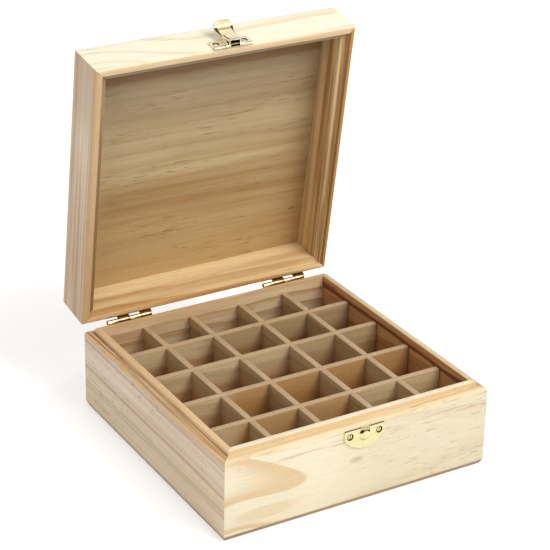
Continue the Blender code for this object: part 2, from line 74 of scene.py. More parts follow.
SWEEP_SIZE = 6.0
SWEEP_GLOW = 0.4
ROOM_LEVEL = 0.60
BACKDROP_LEVEL = 1.0
LAMP_AIM = Vector((0, 0, 90 * MM))
LAMPS = (("key lamp", (0.75, -1.35, 1.75), 1.1, 28), ("fill lamp", (-1.8, -0.9, 1.0), 1.6, 4))


def paint(code):
    """The linear colour of an sRGB hex value."""
    shares = [int(code[i:i + 2], 16) / 255 for i in (0, 2, 4)]
    linear = [s / 12.92 if s <= 0.04045 else ((s + 0.055) / 1.055) ** 2.4 for s in shares]
    return (*linear, 1.0)


def add_node(tree, kind, inputs=None, **settings):
    """Adds a node: settings are its properties, and inputs are values, the sockets to link, or
    nodes whose first output is linked."""
    node = tree.nodes.new(kind)
    for setting, value in settings.items():
        setattr(node, setting, value)
    for socket, value in (inputs or {}).items():
        if isinstance(value, bpy.types.Node):
            value = value.outputs[0]
        if isinstance(value, bpy.types.NodeSocket):
            tree.links.new(value, node.inputs[socket])
        else:
            node.inputs[socket].default_value = value
    return node


def deselect():
    bpy.ops.object.select_all(action="DESELECT")


room = bpy.data.worlds.new("room")
bpy.context.scene.world = room
room.use_nodes = True
room_nodes = room.node_tree
for old in list(room_nodes.nodes):
    room_nodes.nodes.remove(old)
room_path = add_node(room_nodes, "ShaderNodeLightPath")
seen = add_node(room_nodes, "ShaderNodeMath", {0: room_path.outputs["Is Camera Ray"],
                1: room_path.outputs["Is Glossy Ray"]}, operation="MAXIMUM")
level = add_node(room_nodes, "ShaderNodeMapRange", {"Value": seen, "To Min": ROOM_LEVEL,
                 "To Max": BACKDROP_LEVEL})
room_light = add_node(room_nodes, "ShaderNodeBackground", {"Color": paint("FFFFFF"), "Strength": level})
add_node(room_nodes, "ShaderNodeOutputWorld", {"Surface": room_light})

deselect()
bpy.ops.mesh.primitive_plane_add(size=SWEEP_SIZE, location=(0, 0, 0))
table = bpy.context.object
table.name = "table"
table_paint = bpy.data.materials.new("white sweep")
table_paint.use_nodes = True
nodes = table_paint.node_tree
nodes.nodes.clear()
table_path = add_node(nodes, "ShaderNodeLightPath")
matt = add_node(nodes, "ShaderNodeBsdfDiffuse", {"Color": paint("F3F3F3")})
glow = add_node(nodes, "ShaderNodeEmission", {"Color": paint("FFFFFF"), "Strength": SWEEP_GLOW})
lifted = add_node(nodes, "ShaderNodeAddShader", {0: matt, 1: glow})
table_look = add_node(nodes, "ShaderNodeMixShader", {0: table_path.outputs["Is Camera Ray"], 1: matt,
                      2: lifted})
add_node(nodes, "ShaderNodeOutputMaterial", {"Surface": table_look})
table.data.materials.append(table_paint)

for lamp_name, lamp_at, lamp_size, lamp_watts in LAMPS:
    lamp_data = bpy.data.lights.new(lamp_name, "AREA")
    lamp_data.size = lamp_size
    lamp_data.energy = lamp_watts
    lamp = bpy.data.objects.new(lamp_name, lamp_data)
    bpy.context.collection.objects.link(lamp)
    lamp.location = lamp_at
    lamp.rotation_euler = (LAMP_AIM - lamp.location).to_track_quat("-Z", "Y").to_euler()


# Base boards
# Four boards of unvarnished pine, moulded to one section with a lip inside the rim, mitred at the
# corners and glued. The sanded arrises are soft, and each board shows its own growth rings.

WIDTH = 200 * MM
HALF = WIDTH / 2
BOARD = 9.4 * MM
FLOOR_TOP = 3.5 * MM
SHELF_Z = 58.4 * MM
LIP_DEPTH = 5.4 * MM
LIP_HEIGHT = 3.4 * MM
LIP_ROUND = 1.3 * MM
RIM_ROUND = 3.0 * MM
EASE = 0.3 * MM
MITRE_GAP = 0.04 * MM
NEAR = 0.01 * MM


def start_block(name, low, high):
    """A cube primitive between two corners, in edit mode with everything selected."""
    deselect()
    size = [b - a for a, b in zip(low, high)]
    middle = [(a + b) / 2 for a, b in zip(low, high)]
    bpy.ops.mesh.primitive_cube_add(size=1, location=middle, scale=size)
    piece = bpy.context.object
    piece.name = name
    bpy.ops.object.transform_apply(location=True, rotation=True, scale=True)
    bpy.ops.object.mode_set(mode="EDIT")
    return piece


def pick_faces(piece, test):
    """Selects the faces whose middle and normal pass the test, and nothing else."""
    bpy.ops.mesh.select_all(action="DESELECT")
    bpy.ops.mesh.select_mode(type="FACE")
    shape = bmesh.from_edit_mesh(piece.data)
    for face in shape.faces:
        if test(face.calc_center_median(), face.normal):
            face.select_set(True)
    bmesh.update_edit_mesh(piece.data)


def pick_edges(piece, test):
    """Selects the edges whose two ends both pass the test, and nothing else."""
    bpy.ops.mesh.select_all(action="DESELECT")
    bpy.ops.mesh.select_mode(type="EDGE")
    shape = bmesh.from_edit_mesh(piece.data)
    for edge in shape.edges:
        if all(test(end.co) for end in edge.verts):
            edge.select_set(True)
    bmesh.update_edit_mesh(piece.data)


def slice_at(point, normal, **options):
    """Cuts right through the piece in edit mode."""
    bpy.ops.mesh.select_all(action="SELECT")
    bpy.ops.mesh.bisect(plane_co=point, plane_no=normal, **options)


def push_out(move):
    """Extrudes what is selected."""
    bpy.ops.mesh.extrude_region_move(TRANSFORM_OT_translate={"value": move})


def round_edges(radius, segments):
    bpy.ops.mesh.bevel(offset=radius, segments=segments, affect="EDGES")


def ease_edges(piece, width, segments=2, angle=30):
    """Leaves edit mode and softens every edge of the piece that is sharp."""
    bpy.ops.object.mode_set(mode="OBJECT")
    ease = piece.modifiers.new("ease", "BEVEL")
    ease.width = width
    ease.segments = segments
    ease.limit_method = "ANGLE"
    ease.angle_limit = math.radians(angle)
    bpy.ops.object.modifier_apply(modifier=ease.name)
    bpy.ops.object.shade_smooth_by_angle(angle=math.radians(angle))


def mitre_ends(reach):
    """Cuts both ends of a front board at 45 degrees."""
    corner = reach - MITRE_GAP
    slice_at((-corner, -reach, 0), (-1, 1, 0), clear_outer=True, use_fill=True)
    slice_at((corner, -reach, 0), (1, 1, 0), clear_outer=True, use_fill=True)


def pick_piece(piece):
    """Selects one piece alone and makes it the active one."""
    deselect()
    piece.select_set(True)
    bpy.context.view_layer.objects.active = piece


def turn_to_side(piece, degrees):
    """Turns a finished front board to its side of the box and applies the turn."""
    pick_piece(piece)
    piece.rotation_euler.z = math.radians(degrees)
    bpy.ops.object.transform_apply(location=False, rotation=True, scale=False)


def band(low, high, tint, share, soft=1.6, ragged=4.0, cover=1.0, along=2, inner=False):
    """Where pine takes a tint: a range in millimetres along x, y or z (0, 1 or 2) with soft, ragged
    edges. With a cover below 1 only thin lines in that range take it, and inner keeps it to the
    lip's inside."""
    return low, high, tint, share, soft, ragged, cover, along, inner


def pine(name, pale, late, log_at, log_turn, rings, sway, streaks, dashes, rise=(0, 0), bands=(),
         spots=(), grit=0.0, from_lid=False):
    """Sanded pine: soft pale wood between darker growth rings about the log's middle line, with
    long streaks, fine fibres and short resin dashes along it. log_at and log_turn place that line
    in millimetres and degrees. rings is their gap, darkness and how far each fades in, dashes is
    their darkness, length and lean to one end, and rise bends the grain up near a knot. spots are
    marks on the front: their place, half width, half height, colour, share and how much of them
    is solid. grit is the saw's fuzz, and from_lid measures the places on the shut lid."""
    material = bpy.data.materials.new(name)
    material.use_nodes = True
    tree = material.node_tree
    shader = tree.nodes["Principled BSDF"]
    smooth = {"interpolation_type": "SMOOTHSTEP"}
    place = add_node(tree, "ShaderNodeTexCoord").outputs["Object"]
    if from_lid:
        shut = add_node(tree, "ShaderNodeMapping", {"Vector": place, "Location": LID_AXIS,
                        "Rotation": (-LID_OPEN, 0, 0)}, vector_type="TEXTURE")
        place = add_node(tree, "ShaderNodeVectorMath", {0: shut, 1: LID_AXIS}, operation="ADD")
    log = add_node(tree, "ShaderNodeMapping", {"Vector": place, "Location": [at * MM for at in log_at],
                   "Rotation": [math.radians(turn) for turn in log_turn]}, vector_type="TEXTURE")

    def stretched(length, across, detail, roughness=0.5):
        """Noise whose features have this length and width, in millimetres."""
        squeezed = add_node(tree, "ShaderNodeVectorMath", {0: log, 1: (1 / (length * MM),
                            1 / (across * MM), 1 / (across * MM))}, operation="MULTIPLY")
        return add_node(tree, "ShaderNodeTexNoise", {"Vector": squeezed, "Scale": 1, "Detail": detail,
                        "Roughness": roughness})

    # The grain: the log's middle line, lifted near a knot and swaying a little, and the rings about it.
    parts = add_node(tree, "ShaderNodeSeparateXYZ", {0: log}).outputs
    lift = add_node(tree, "ShaderNodeMapRange", {"Value": parts[0], "From Min": -rise[0] * MM - NEAR,
                    "From Max": 0, "To Min": rise[1] * MM, "To Max": 0}, **smooth)
    lifted = add_node(tree, "ShaderNodeCombineXYZ", {2: lift})
    level = add_node(tree, "ShaderNodeVectorMath", {0: log, 1: lifted}, operation="SUBTRACT")
    centred = add_node(tree, "ShaderNodeVectorMath", {0: stretched(70, 26, 2).outputs["Color"],
                       1: (0.5, 0.5, 0.5)}, operation="SUBTRACT")
    swayed = add_node(tree, "ShaderNodeVectorMath", {0: centred, 1: (0, 2 * sway * MM, 2 * sway * MM)},
                      operation="MULTIPLY")
    bent = add_node(tree, "ShaderNodeVectorMath", {0: level, 1: swayed}, operation="ADD")
    gap, ring_share, fade = rings
    growth = add_node(tree, "ShaderNodeTexWave", {"Vector": bent, "Scale": math.tau / (20 * gap * MM)},
                      wave_type="RINGS", rings_direction="X", wave_profile="SAW").outputs["Fac"]
    darkens = add_node(tree, "ShaderNodeMapRange", {"Value": growth, "From Min": fade, "From Max": 0.93,
                       "To Max": ring_share}, **smooth)
    ends = add_node(tree, "ShaderNodeMapRange", {"Value": growth, "From Min": 0.975, "To Min": 1,
                    "To Max": 0}, **smooth)
    latewood = add_node(tree, "ShaderNodeMath", {0: darkens, 1: ends}, operation="MULTIPLY", use_clamp=True)

    # The colour between pale and late wood, with long thin streaks and broad ones.
    thin = add_node(tree, "ShaderNodeMapRange", {"Value": stretched(260, 5, 3, 0.62), "From Min": 0.38,
                    "From Max": 0.72, "To Max": streaks}, **smooth)
    broad = add_node(tree, "ShaderNodeMapRange", {"Value": stretched(150, 24, 1), "From Min": 0.35,
                     "From Max": 0.7, "To Max": streaks * 0.6}, **smooth)
    ringed = add_node(tree, "ShaderNodeMath", {0: latewood, 1: thin}, operation="ADD", use_clamp=True)
    depth = add_node(tree, "ShaderNodeMath", {0: ringed, 1: broad}, operation="ADD", use_clamp=True)
    wood = add_node(tree, "ShaderNodeMix", {0: depth, 6: paint(pale), 7: paint(late)},
                    data_type="RGBA").outputs[2]

    # The bands: each is a distance from its middle, shaken by noise that follows the grain.
    at = add_node(tree, "ShaderNodeSeparateXYZ", {0: place}).outputs
    edge_noise = stretched(60, 5, 2)
    line_noise = stretched(110, 1.5, 3, 0.55)
    from_side = add_node(tree, "ShaderNodeMath", {0: at[0]}, operation="ABSOLUTE")
    from_front = add_node(tree, "ShaderNodeMath", {0: at[1]}, operation="ABSOLUTE")
    aside = add_node(tree, "ShaderNodeMath", {0: from_side, 1: from_front}, operation="MAXIMUM")
    inside = add_node(tree, "ShaderNodeMapRange", {"Value": aside, "From Min": HALF - LIP_DEPTH + 0.2 * MM,
                      "From Max": HALF - LIP_DEPTH + 0.5 * MM, "To Min": 1, "To Max": 0}, **smooth)
    for low, high, tint, share, soft, ragged, cover, along, inner in bands:
        middle = (low + high) / 2 * MM + ragged * MM / 2
        half = (high - low) / 2 * MM
        shaken = add_node(tree, "ShaderNodeMath", {0: edge_noise, 1: ragged * MM, 2: at[along]},
                          operation="MULTIPLY_ADD")
        off = add_node(tree, "ShaderNodeMath", {0: shaken, 1: middle}, operation="SUBTRACT")
        away = add_node(tree, "ShaderNodeMath", {0: off}, operation="ABSOLUTE")
        tinted = add_node(tree, "ShaderNodeMapRange", {"Value": away, "From Min": half,
                          "From Max": half + soft * MM, "To Min": share, "To Max": 0}, **smooth)
        if cover < 1:
            lines = add_node(tree, "ShaderNodeMapRange", {"Value": line_noise,
                             "From Min": 0.64 - 0.3 * cover, "From Max": 0.76 - 0.3 * cover}, **smooth)
            tinted = add_node(tree, "ShaderNodeMath", {0: tinted, 1: lines}, operation="MULTIPLY")
        if inner:
            tinted = add_node(tree, "ShaderNodeMath", {0: tinted, 1: inside}, operation="MULTIPLY")
        wood = add_node(tree, "ShaderNodeMix", {0: tinted, 6: wood, 7: paint(tint)},
                        data_type="RGBA").outputs[2]

    # The marks: spots, short dashes that crowd in places, and flecks.
    for x, z, half_width, half_height, tint, share, core in spots:
        offset = add_node(tree, "ShaderNodeVectorMath", {0: place, 1: (x * MM, 0, z * MM)},
                          operation="SUBTRACT")
        scaled = add_node(tree, "ShaderNodeVectorMath", {0: offset, 1: (1 / (half_width * MM), 0,
                          1 / (half_height * MM))}, operation="MULTIPLY")
        reach = add_node(tree, "ShaderNodeVectorMath", {0: scaled}, operation="LENGTH").outputs["Value"]
        stained = add_node(tree, "ShaderNodeMapRange", {"Value": reach, "From Min": core, "From Max": 1.2,
                           "To Min": share, "To Max": 0}, **smooth)
        wood = add_node(tree, "ShaderNodeMix", {0: stained, 6: wood, 7: paint(tint)},
                        data_type="RGBA").outputs[2]
    dash_share, dash_length, lean = dashes
    leaned = add_node(tree, "ShaderNodeMath", {0: parts[0], 1: lean / (100 * MM),
                      2: stretched(70, 16, 2)}, operation="MULTIPLY_ADD")
    crowd = add_node(tree, "ShaderNodeMapRange", {"Value": leaned, "From Min": 0.46 + lean / 2,
                     "From Max": 0.64 + lean / 2}, **smooth)
    short = add_node(tree, "ShaderNodeMapRange", {"Value": stretched(dash_length, 0.055 * dash_length, 1),
                     "From Min": 0.6, "From Max": 0.72, "To Max": dash_share}, **smooth)
    dashed = add_node(tree, "ShaderNodeMath", {0: short, 1: crowd}, operation="MULTIPLY")
    flecks = add_node(tree, "ShaderNodeMapRange", {"Value": stretched(1.6, 0.5, 0), "From Min": 0.78,
                      "From Max": 0.84, "To Max": dash_share}, **smooth)
    marks = add_node(tree, "ShaderNodeMath", {0: dashed, 1: flecks}, operation="MAXIMUM")
    resin = [channel * share for channel, share in zip(paint(late), (0.5, 0.42, 0.36))]
    marked = add_node(tree, "ShaderNodeMix", {0: marks, 6: wood, 7: (*resin, 1)},
                      data_type="RGBA").outputs[2]

    # The fibres: fine hair in the colour, the gloss and the relief.
    fibre = stretched(30, 0.7, 4, 0.65)
    hair = add_node(tree, "ShaderNodeMapRange", {"Value": fibre, "From Min": 0.3, "From Max": 0.7,
                    "To Min": 1.03, "To Max": 0.95}, **smooth)
    if grit:
        fuzz = add_node(tree, "ShaderNodeTexNoise", {"Vector": place, "Scale": 1 / (1.1 * MM), "Detail": 2})
        worn = add_node(tree, "ShaderNodeMapRange", {"Value": fuzz, "From Min": 0.35, "From Max": 0.65,
                        "To Min": 1 - grit, "To Max": 1 + grit}, **smooth)
        hair = add_node(tree, "ShaderNodeMath", {0: hair, 1: worn}, operation="MULTIPLY")
    grained = add_node(tree, "ShaderNodeVectorMath", {0: marked, "Scale": hair}, operation="SCALE")
    gloss = add_node(tree, "ShaderNodeMapRange", {"Value": fibre, "From Min": 0.2, "From Max": 0.8,
                     "To Min": 0.58, "To Max": 0.76}, **smooth)
    relief = add_node(tree, "ShaderNodeMath", {0: fibre, 1: latewood}, operation="ADD")
    bump = add_node(tree, "ShaderNodeBump", {"Height": relief, "Strength": 0.3, "Distance": 0.1 * MM})
    tree.links.new(grained.outputs[0], shader.inputs["Base Color"])
    tree.links.new(gloss.outputs[0], shader.inputs["Roughness"])
    tree.links.new(bump.outputs[0], shader.inputs["Normal"])
    return material


def finish(piece, body, material, node):
    """Gives a piece its material and says what it rides on and stands for."""
    piece.data.materials.clear()
    piece.data.materials.append(material)
    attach(piece, body)
    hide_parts(node)


base_woods = {
    "front": (0, pine("pine front", "F7ECCD", "E2BF8C", (-39.4, -36, 31), (0, 0, 2.5), (8, 0.75, 0.68),
              sway=0.35, streaks=0.1, dashes=(0.42, 14, 0.6), rise=(60, 12), spots=(
                  (-2.5, 32.3, 6, 2.8, "A08058", 0.36, 0.3),
                  (-34.5, 53.7, 0.5, 0.5, "A68156", 0.9, 0.3),
                  (-69, 13.8, 23, 4.8, "E6C08A", 0.38, 0.7)), bands=(
                  band(20, 160, "E6D9B9", 0.72, 60, 0.0, along=0),
                  band(56.9, 60, "F0D6A2", 0.55, 2.5, 2.0),
                  band(58.9, 61.4, "E2BC88", 0.7, 1.2, 1.5),
                  band(61.6, 63, "FFF4D6", 0.85, 0.15, 0.0),
                  band(54.5, 58.4, "D8A666", 0.45, 1.5, 3.0, 0.35),
                  band(46.5, 49, "BFA484", 0.5, 3.0, 7.0, 0.5)))),
    "right": (90, pine("pine right", "DDBE90", "A8743C", (130, 0, 20), (0, 2, 88), (6, 0.4, 0.3),
              sway=2, streaks=0.5, dashes=(0.5, 12, 0), bands=(
                  band(20, 60, "B66E1C", 0.42, 6.0, 4.0, inner=True),
                  band(54.6, 56.8, "6E2C06", 0.9, 1.2, 7.0, inner=True),
                  band(59.6, 61.2, "A8743C", 0.5, 0.8, 2.0, 0.6),
                  band(61.4, 63, "EDD3A4", 0.8, 0.3, 0.0)))),
    "back": (180, pine("pine back", "F8E4BC", "B8864C", (10, 40, -62), (0, 1.5, 1.0), (8.5, 0.55, 0.15),
             sway=4.5, streaks=0.45, dashes=(0.4, 11, 0), bands=(
                 band(5, 54, "B98C4C", 0.24, 2.0, 4.0, inner=True),
                 band(56, 62, "D8B480", 0.5, 2.0)))),
    "left": (270, pine("pine left", "F7E5D0", "CBAA86", (-40, 0, -260), (0, 0.4, 90.2), (19, 0.2, 0.75),
             sway=0.8, streaks=0.45, dashes=(0.8, 9, 0.1), bands=(
                 band(2, 30, "E9D4AC", 0.45, 6.0, 6.0),
                 band(51.4, 52.0, "A88464", 0.25, 1.6, 3.0),
                 band(31.8, 32.4, "A07A50", 0.4, 1.8, 3.0),
                 band(20.6, 21.2, "A88858", 0.3, 2.0, 5.0),
                 band(17.6, 18.0, "A88858", 0.25, 1.2, 5.0),
                 band(56.2, 62, "E9C08A", 0.85, 1.2, 3.5),
                 band(58.0, 58.9, "8A5E30", 0.6, 0.9, 1.5, 0.8),
                 band(57.5, 61, "6A4420", 0.7, 1.2, 1.0, 0.35)))),
}
lip_y = LIP_DEPTH - HALF
for side, (degrees, wood) in base_woods.items():
    board = start_block("base board " + side, (-HALF, -HALF, FLOOR_TOP), (HALF, BOARD - HALF, SHELF_Z))
    slice_at((0, lip_y, 0), (0, 1, 0))
    pick_faces(board, lambda at, out: out.z > 0.9 and at.y > lip_y)
    push_out((0, 0, LIP_HEIGHT))
    pick_edges(board, lambda at: at.y < NEAR - HALF and at.z > SHELF_Z - NEAR)
    round_edges(RIM_ROUND, 6)
    pick_edges(board, lambda at: abs(at.y - lip_y) < NEAR and at.z > SHELF_Z + LIP_HEIGHT - NEAR)
    round_edges(LIP_ROUND, 4)
    mitre_ends(HALF)
    ease_edges(board, EASE)
    turn_to_side(board, degrees)
    board.name = "base_board_" + side
    finish(board, "base", wood, "base_" + side + "_board")


# Bottom panel
# A thin panel of plywood glued under the boards, sawn with its edge leaning in towards the
# underside. The edge shows the plies and is greyer than the pine.

FOOT_INSET = 1.7 * MM
GLUE_MARGIN = 12 * MM

# Its top face, the floor of the cells, is lightened as painted light against the cells' shade.
plywood = pine("plywood", "C0A888", "95795A", (0, 0, -14), (0, 0, 0), (1.2, 0.8, 0.3), sway=0.3, streaks=0.3,
               dashes=(0.3, 11, 0), bands=(band(3.45, 20, "E2C698", 0.85, 0.1, 0),))
panel = start_block("bottom_sheet", (-HALF, -HALF, 0), (HALF, HALF, FLOOR_TOP))
pick_faces(panel, lambda at, out: out.z < -0.9)
foot_share = (HALF - FOOT_INSET) / HALF
bpy.ops.transform.resize(value=(foot_share, foot_share, 1), center_override=(0, 0, 0))
bpy.ops.mesh.inset(thickness=GLUE_MARGIN)
ease_edges(panel, EASE / 2)
finish(panel, "base", plywood, "bottom_panel")


# Divider slats
# Thin slats of raw sawn pine, halved into each other and dropped in as one grid. Those from left
# to right are notched from below, and the others from above.

SLAT = 4.2 * MM
SLAT_REACH = 90 * MM
SLAT_FOOT = 3.8 * MM
SLAT_TOP = 55.4 * MM
SLAT_MIDDLE = (SLAT_FOOT + SLAT_TOP) / 2
SLAT_OFFSETS = (-57.0 * MM, -19.9 * MM, 19.9 * MM, 57.0 * MM)
NOTCH = SLAT / 2 + 0.1 * MM

# The slats from left to right are browner along a part of their length.
SLAT_TINTS = ((-60, 12, "B07E3C", 0.6, 12), (-46, 100, "B07E3C", 0.75, 12), (24, 110, "8E6834", 0.35, 16),
              (-22, 110, "8E6834", 0.45, 16))


def sawn_slat(name, along_x, tints=()):
    """Slat wood: fuzzy from the saw, greyish on top, with the grain along x or along y. Low down
    it is reddened as painted shade and bounced light, and the slats along y are darker as
    painted shade."""
    log_turn = (0, 3, 2) if along_x else (0, 2, 91)
    # The slats along y are darker: painted shade on faces turned from the light.
    pale, late = ("CDB48A", "A2845A") if along_x else ("B6986C", "8A6C42")
    # Painted shade low in the cells, reddened as by light bounced off the wood.
    painted_low_shade = band(0, 39, "C0641C", 0.3, 6, 6)
    on_top = band(54.9, 56, "C6AA86", 0.85, 0.5, 0)
    return pine(name, pale, late, (10, 30, 14), log_turn, (12, 0.35, 0.4), sway=2, streaks=0.35,
                dashes=(0.35, 11, 0), grit=0.07, bands=(painted_low_shade, *tints, on_top))


cross_woods = [sawn_slat("sawn slat " + str(number), True, (band(*tint, 10, along=0),))
               for number, tint in enumerate(SLAT_TINTS, 1)]
long_wood = sawn_slat("sawn slat long", False)
for number, offset in enumerate(SLAT_OFFSETS, 1):
    for run in ("cross", "long"):
        from_below = run == "cross"
        kept = (SLAT_MIDDLE, SLAT_TOP) if from_below else (SLAT_FOOT, SLAT_MIDDLE)
        slat = start_block("slat", (-SLAT_REACH, -SLAT / 2, kept[0]), (SLAT_REACH, SLAT / 2, kept[1]))
        for crossing in SLAT_OFFSETS:
            slice_at((crossing - NOTCH, 0, 0), (1, 0, 0))
            slice_at((crossing + NOTCH, 0, 0), (1, 0, 0))
        outwards = -1 if from_below else 1

        def between_notches(at, out):
            clear = all(abs(at.x - crossing) > NOTCH for crossing in SLAT_OFFSETS)
            return clear and out.z * outwards > 0.9

        pick_faces(slat, between_notches)
        depth = SLAT_MIDDLE - SLAT_FOOT if from_below else SLAT_TOP - SLAT_MIDDLE
        push_out((0, 0, outwards * depth))
        ease_edges(slat, EASE)
        slat.location = (0, offset, 0) if from_below else (offset, 0, 0)
        slat.rotation_euler.z = 0 if from_below else math.pi / 2
        bpy.ops.object.transform_apply(location=True, rotation=True, scale=False)
        slat.name = run + "_divider_" + str(number)
        slat_wood = cross_woods[number - 1] if from_below else long_wood
        finish(slat, "divider_grid", slat_wood, run + "_slat_" + str(number))


# Lid boards
# The same pine as the base, mitred too. Below, the boards are rebated to drop over the lip, and
# above, the panel is let into them. They are made shut and then turned back on the hinges.

LID_OPEN = math.radians(81.4)
LID_AXIS = (0, 102.45 * MM, 58.7 * MM)
RIM_Z = 58.7 * MM
LID_HEIGHT = 32.5 * MM
LID_REBATE = 5.1 * MM
LID_REBATE_Z = RIM_Z + 4.0 * MM
PANEL_REBATE = 4.6 * MM
PANEL_SEAT = RIM_Z + LID_HEIGHT - 5.2 * MM


def open_lid(piece):
    """Turns a piece from the shut lid back about the hinges and applies the turn."""
    pick_piece(piece)
    axis = Matrix.Translation(LID_AXIS)
    piece.matrix_world = axis @ Matrix.Rotation(-LID_OPEN, 4, "X") @ axis.inverted() @ piece.matrix_world
    bpy.ops.object.transform_apply(location=True, rotation=True, scale=False)


lid_woods = {
    "front": (0, pine("pine lid front", "FFFAE0", "EED2A0", (-12, -40, 97), (0, 0, 0.6), (9, 0.5, 0.78),
              sway=0.8, streaks=0.08, dashes=(0.25, 12, 0), rise=(85, 26), from_lid=True, bands=(
                  band(58, 60.4, "EDCB9C", 0.35, 1.0, 2.5),
                  band(57.8, 59.0, "DDBB8C", 0.75, 0.5, 0.5),
                  band(58.5, 61.5, "DDAA72", 0.5, 1.0, 2.0, 0.4),
                  # Painted shade: the rebate step and inner side, as in the rim's shadow.
                  band(-94.8, -60, "8E7450", 0.85, 0.3, 0.0, along=1)))),
    "right": (90, pine("pine lid right", "E4C690", "A87842", (130, 0, 60), (0, 1, 89), (6, 0.3, 0.3),
              sway=1.5, streaks=0.65, dashes=(0.3, 12, 0), from_lid=True, bands=(
                  band(77, 87, "E8CCA0", 0.35, 3.0, 2.0),
                  band(65.6, 67.2, "6E360A", 0.5, 0.8, 2.0, 0.8),
                  band(57, 59.0, "744A16", 0.9, 0.5, 0.3),
                  band(96.6, 99.5, "CC9036", 0.7, 0.5, 0.3, along=0),
                  band(62, 64, "7A3E14", 0.5, 0.8, 1.5, 0.6)))),
    "back": (180, pine("pine lid back", "E8CA96", "BC8A4C", (-10, 130, 20), (0, 1.0, 2.0), (9, 0.5, 0.2),
             sway=3, streaks=0.35, dashes=(0.35, 12, 0), from_lid=True, bands=(
                 # Painted light: a pale band across the board near the panel.
                 band(78, 90, "FFE6B0", 0.68, 8, 3),))),
    "left": (270, pine("pine lid left", "F2E1CB", "C8A581", (-160, 0, 50), (0, 0.3, 90.3), (14, 0.2, 0.5),
             sway=1, streaks=0.75, dashes=(0.35, 10, 0), from_lid=True, bands=(
                 band(56, 61.4, "CCA36C", 0.8, 1.0, 1.5),
                 band(63.5, 64.0, "A07E5C", 0.45, 0.8, 1.0),
                 # Painted shade: the rebate step and inner side, where the rim meets the panel.
                 band(-95.1, -80, "86623A", 0.85, 0.2, 0.0, along=0),
                 band(66, 68.0, "EEDFCC", 0.35, 1.0, 1.5),
                 band(-120, -70, "C0A076", 0.35, 30, 4.0, along=1)))),
}
for side, (degrees, wood) in lid_woods.items():
    board = start_block("lid board", (-HALF, -HALF, LID_REBATE_Z), (HALF, BOARD - HALF, PANEL_SEAT))
    slice_at((0, LID_REBATE - HALF, 0), (0, 1, 0))
    slice_at((0, PANEL_REBATE - HALF, 0), (0, 1, 0))
    pick_faces(board, lambda at, out: out.z < -0.9 and at.y < LID_REBATE - HALF)
    push_out((0, 0, RIM_Z - LID_REBATE_Z))
    pick_faces(board, lambda at, out: out.z > 0.9 and at.y < PANEL_REBATE - HALF)
    push_out((0, 0, RIM_Z + LID_HEIGHT - PANEL_SEAT))
    pick_edges(board, lambda at: at.y < NEAR - HALF and at.z < RIM_Z + NEAR)
    round_edges(RIM_ROUND, 6)
    mitre_ends(HALF)
    ease_edges(board, EASE)
    turn_to_side(board, degrees)
    open_lid(board)
    board.name = "lid_board_" + side
    finish(board, "lid", wood, "lid_" + side + "_board")


# Lid panel
# One wide pine board let into the top of the lid, with long streaks from left to right. It is plain
# sanded wood, darker inside than outside.

PANEL_INSET = PANEL_REBATE + 0.08 * MM


def shade_faces(piece, test, number=1):
    """Gives the faces that pass the test another of the piece's materials."""
    for face in piece.data.polygons:
        if test(face.center, face.normal):
            face.material_index = number


def wide_board(name, pale, tints):
    """The wood of the wide board: tints are its bands of another colour."""
    return pine(name, pale, "A5824E", (0, 40, 260), (1.5, 0.6, 1), (22, 0.2, 0.3), sway=4, streaks=0.5,
                dashes=(0.7, 15, 0), from_lid=True, bands=tints)


# The inside carries painted shade: it is greyer towards the front and has a dark band behind the front
# board, as in its shadow. It also has painted light along its left edge.
panel_wood = wide_board("pine lid panel inside", "CBB284", (
    band(-140, -60, "9C8A74", 0.45, 70, 20, along=1),
    band(60, 120, "D2A868", 0.4, 50, 20, along=1),
    band(12, 30, "A87C48", 0.35, 10, 20, along=1),
    band(-120, -90, "E2C596", 0.4, 22, 6, along=0),
    band(-88, -74.0, "7C4A0A", 0.62, 6, 4, along=1)))
top_wood = wide_board("pine lid panel outside", "DCC498", (band(12, 30, "B48A54", 0.3, 10, 20, along=1),))
panel = start_block("lid_sheet", (PANEL_INSET - HALF, PANEL_INSET - HALF, PANEL_SEAT),
                    (HALF - PANEL_INSET, HALF - PANEL_INSET, RIM_Z + LID_HEIGHT))
pick_faces(panel, lambda at, out: out.z > 0.9)
bpy.ops.mesh.inset(thickness=1 * MM)
ease_edges(panel, EASE)
shade_faces(panel, lambda at, out: at.z > PANEL_SEAT + EASE)
open_lid(panel)
for wood in (panel_wood, top_wood):
    panel.data.materials.append(wood)
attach(panel, "lid")
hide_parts("lid_panel")


# Hinges
# Two butt hinges of pressed brass on the outside of the back, 35 mm long with four knuckles. The
# leaves lie flat on the wood, and a brass pin runs through the rolled knuckles.

HINGE_X = 63.5 * MM
HINGE_REACH = 17.5 * MM
KNUCKLE = 8.75 * MM
KNUCKLE_RADIUS = 1.5 * MM
PIN_RADIUS = 0.7 * MM
LEAF_BACK = -2.35 * MM
LEAF_FACE = -1.25 * MM
LEAF_REACH = 12 * MM
LEAF_NOTCH = 3.2 * MM
BASE_NOTCH = 1.0 * MM
# The way the hinge knuckles' painted highlight faces: to the front and up.
HIGHLIGHT_FACING = (0, -0.85, 0.53)
LEAF_CORNER = 1.5 * MM
LEAF_SCREW_X = 10 * MM
LEAF_SCREW_Z = 7.5 * MM
LEAF_DIMPLE = (2.4 * MM, 1.4 * MM, 0.8 * MM)
LEAF_DIMPLE_REACH = 2.2 * MM
LEAF_EDGE = 0.3 * MM
KNUCKLE_GAP = 0.25 * MM
BORE_PLAY = 0.05 * MM
THIN_EASE = 0.12 * MM
PIN_EASE = 0.25 * MM
ALONG_X = (0, math.pi / 2, 0)
ALONG_Y = (math.pi / 2, 0, 0)


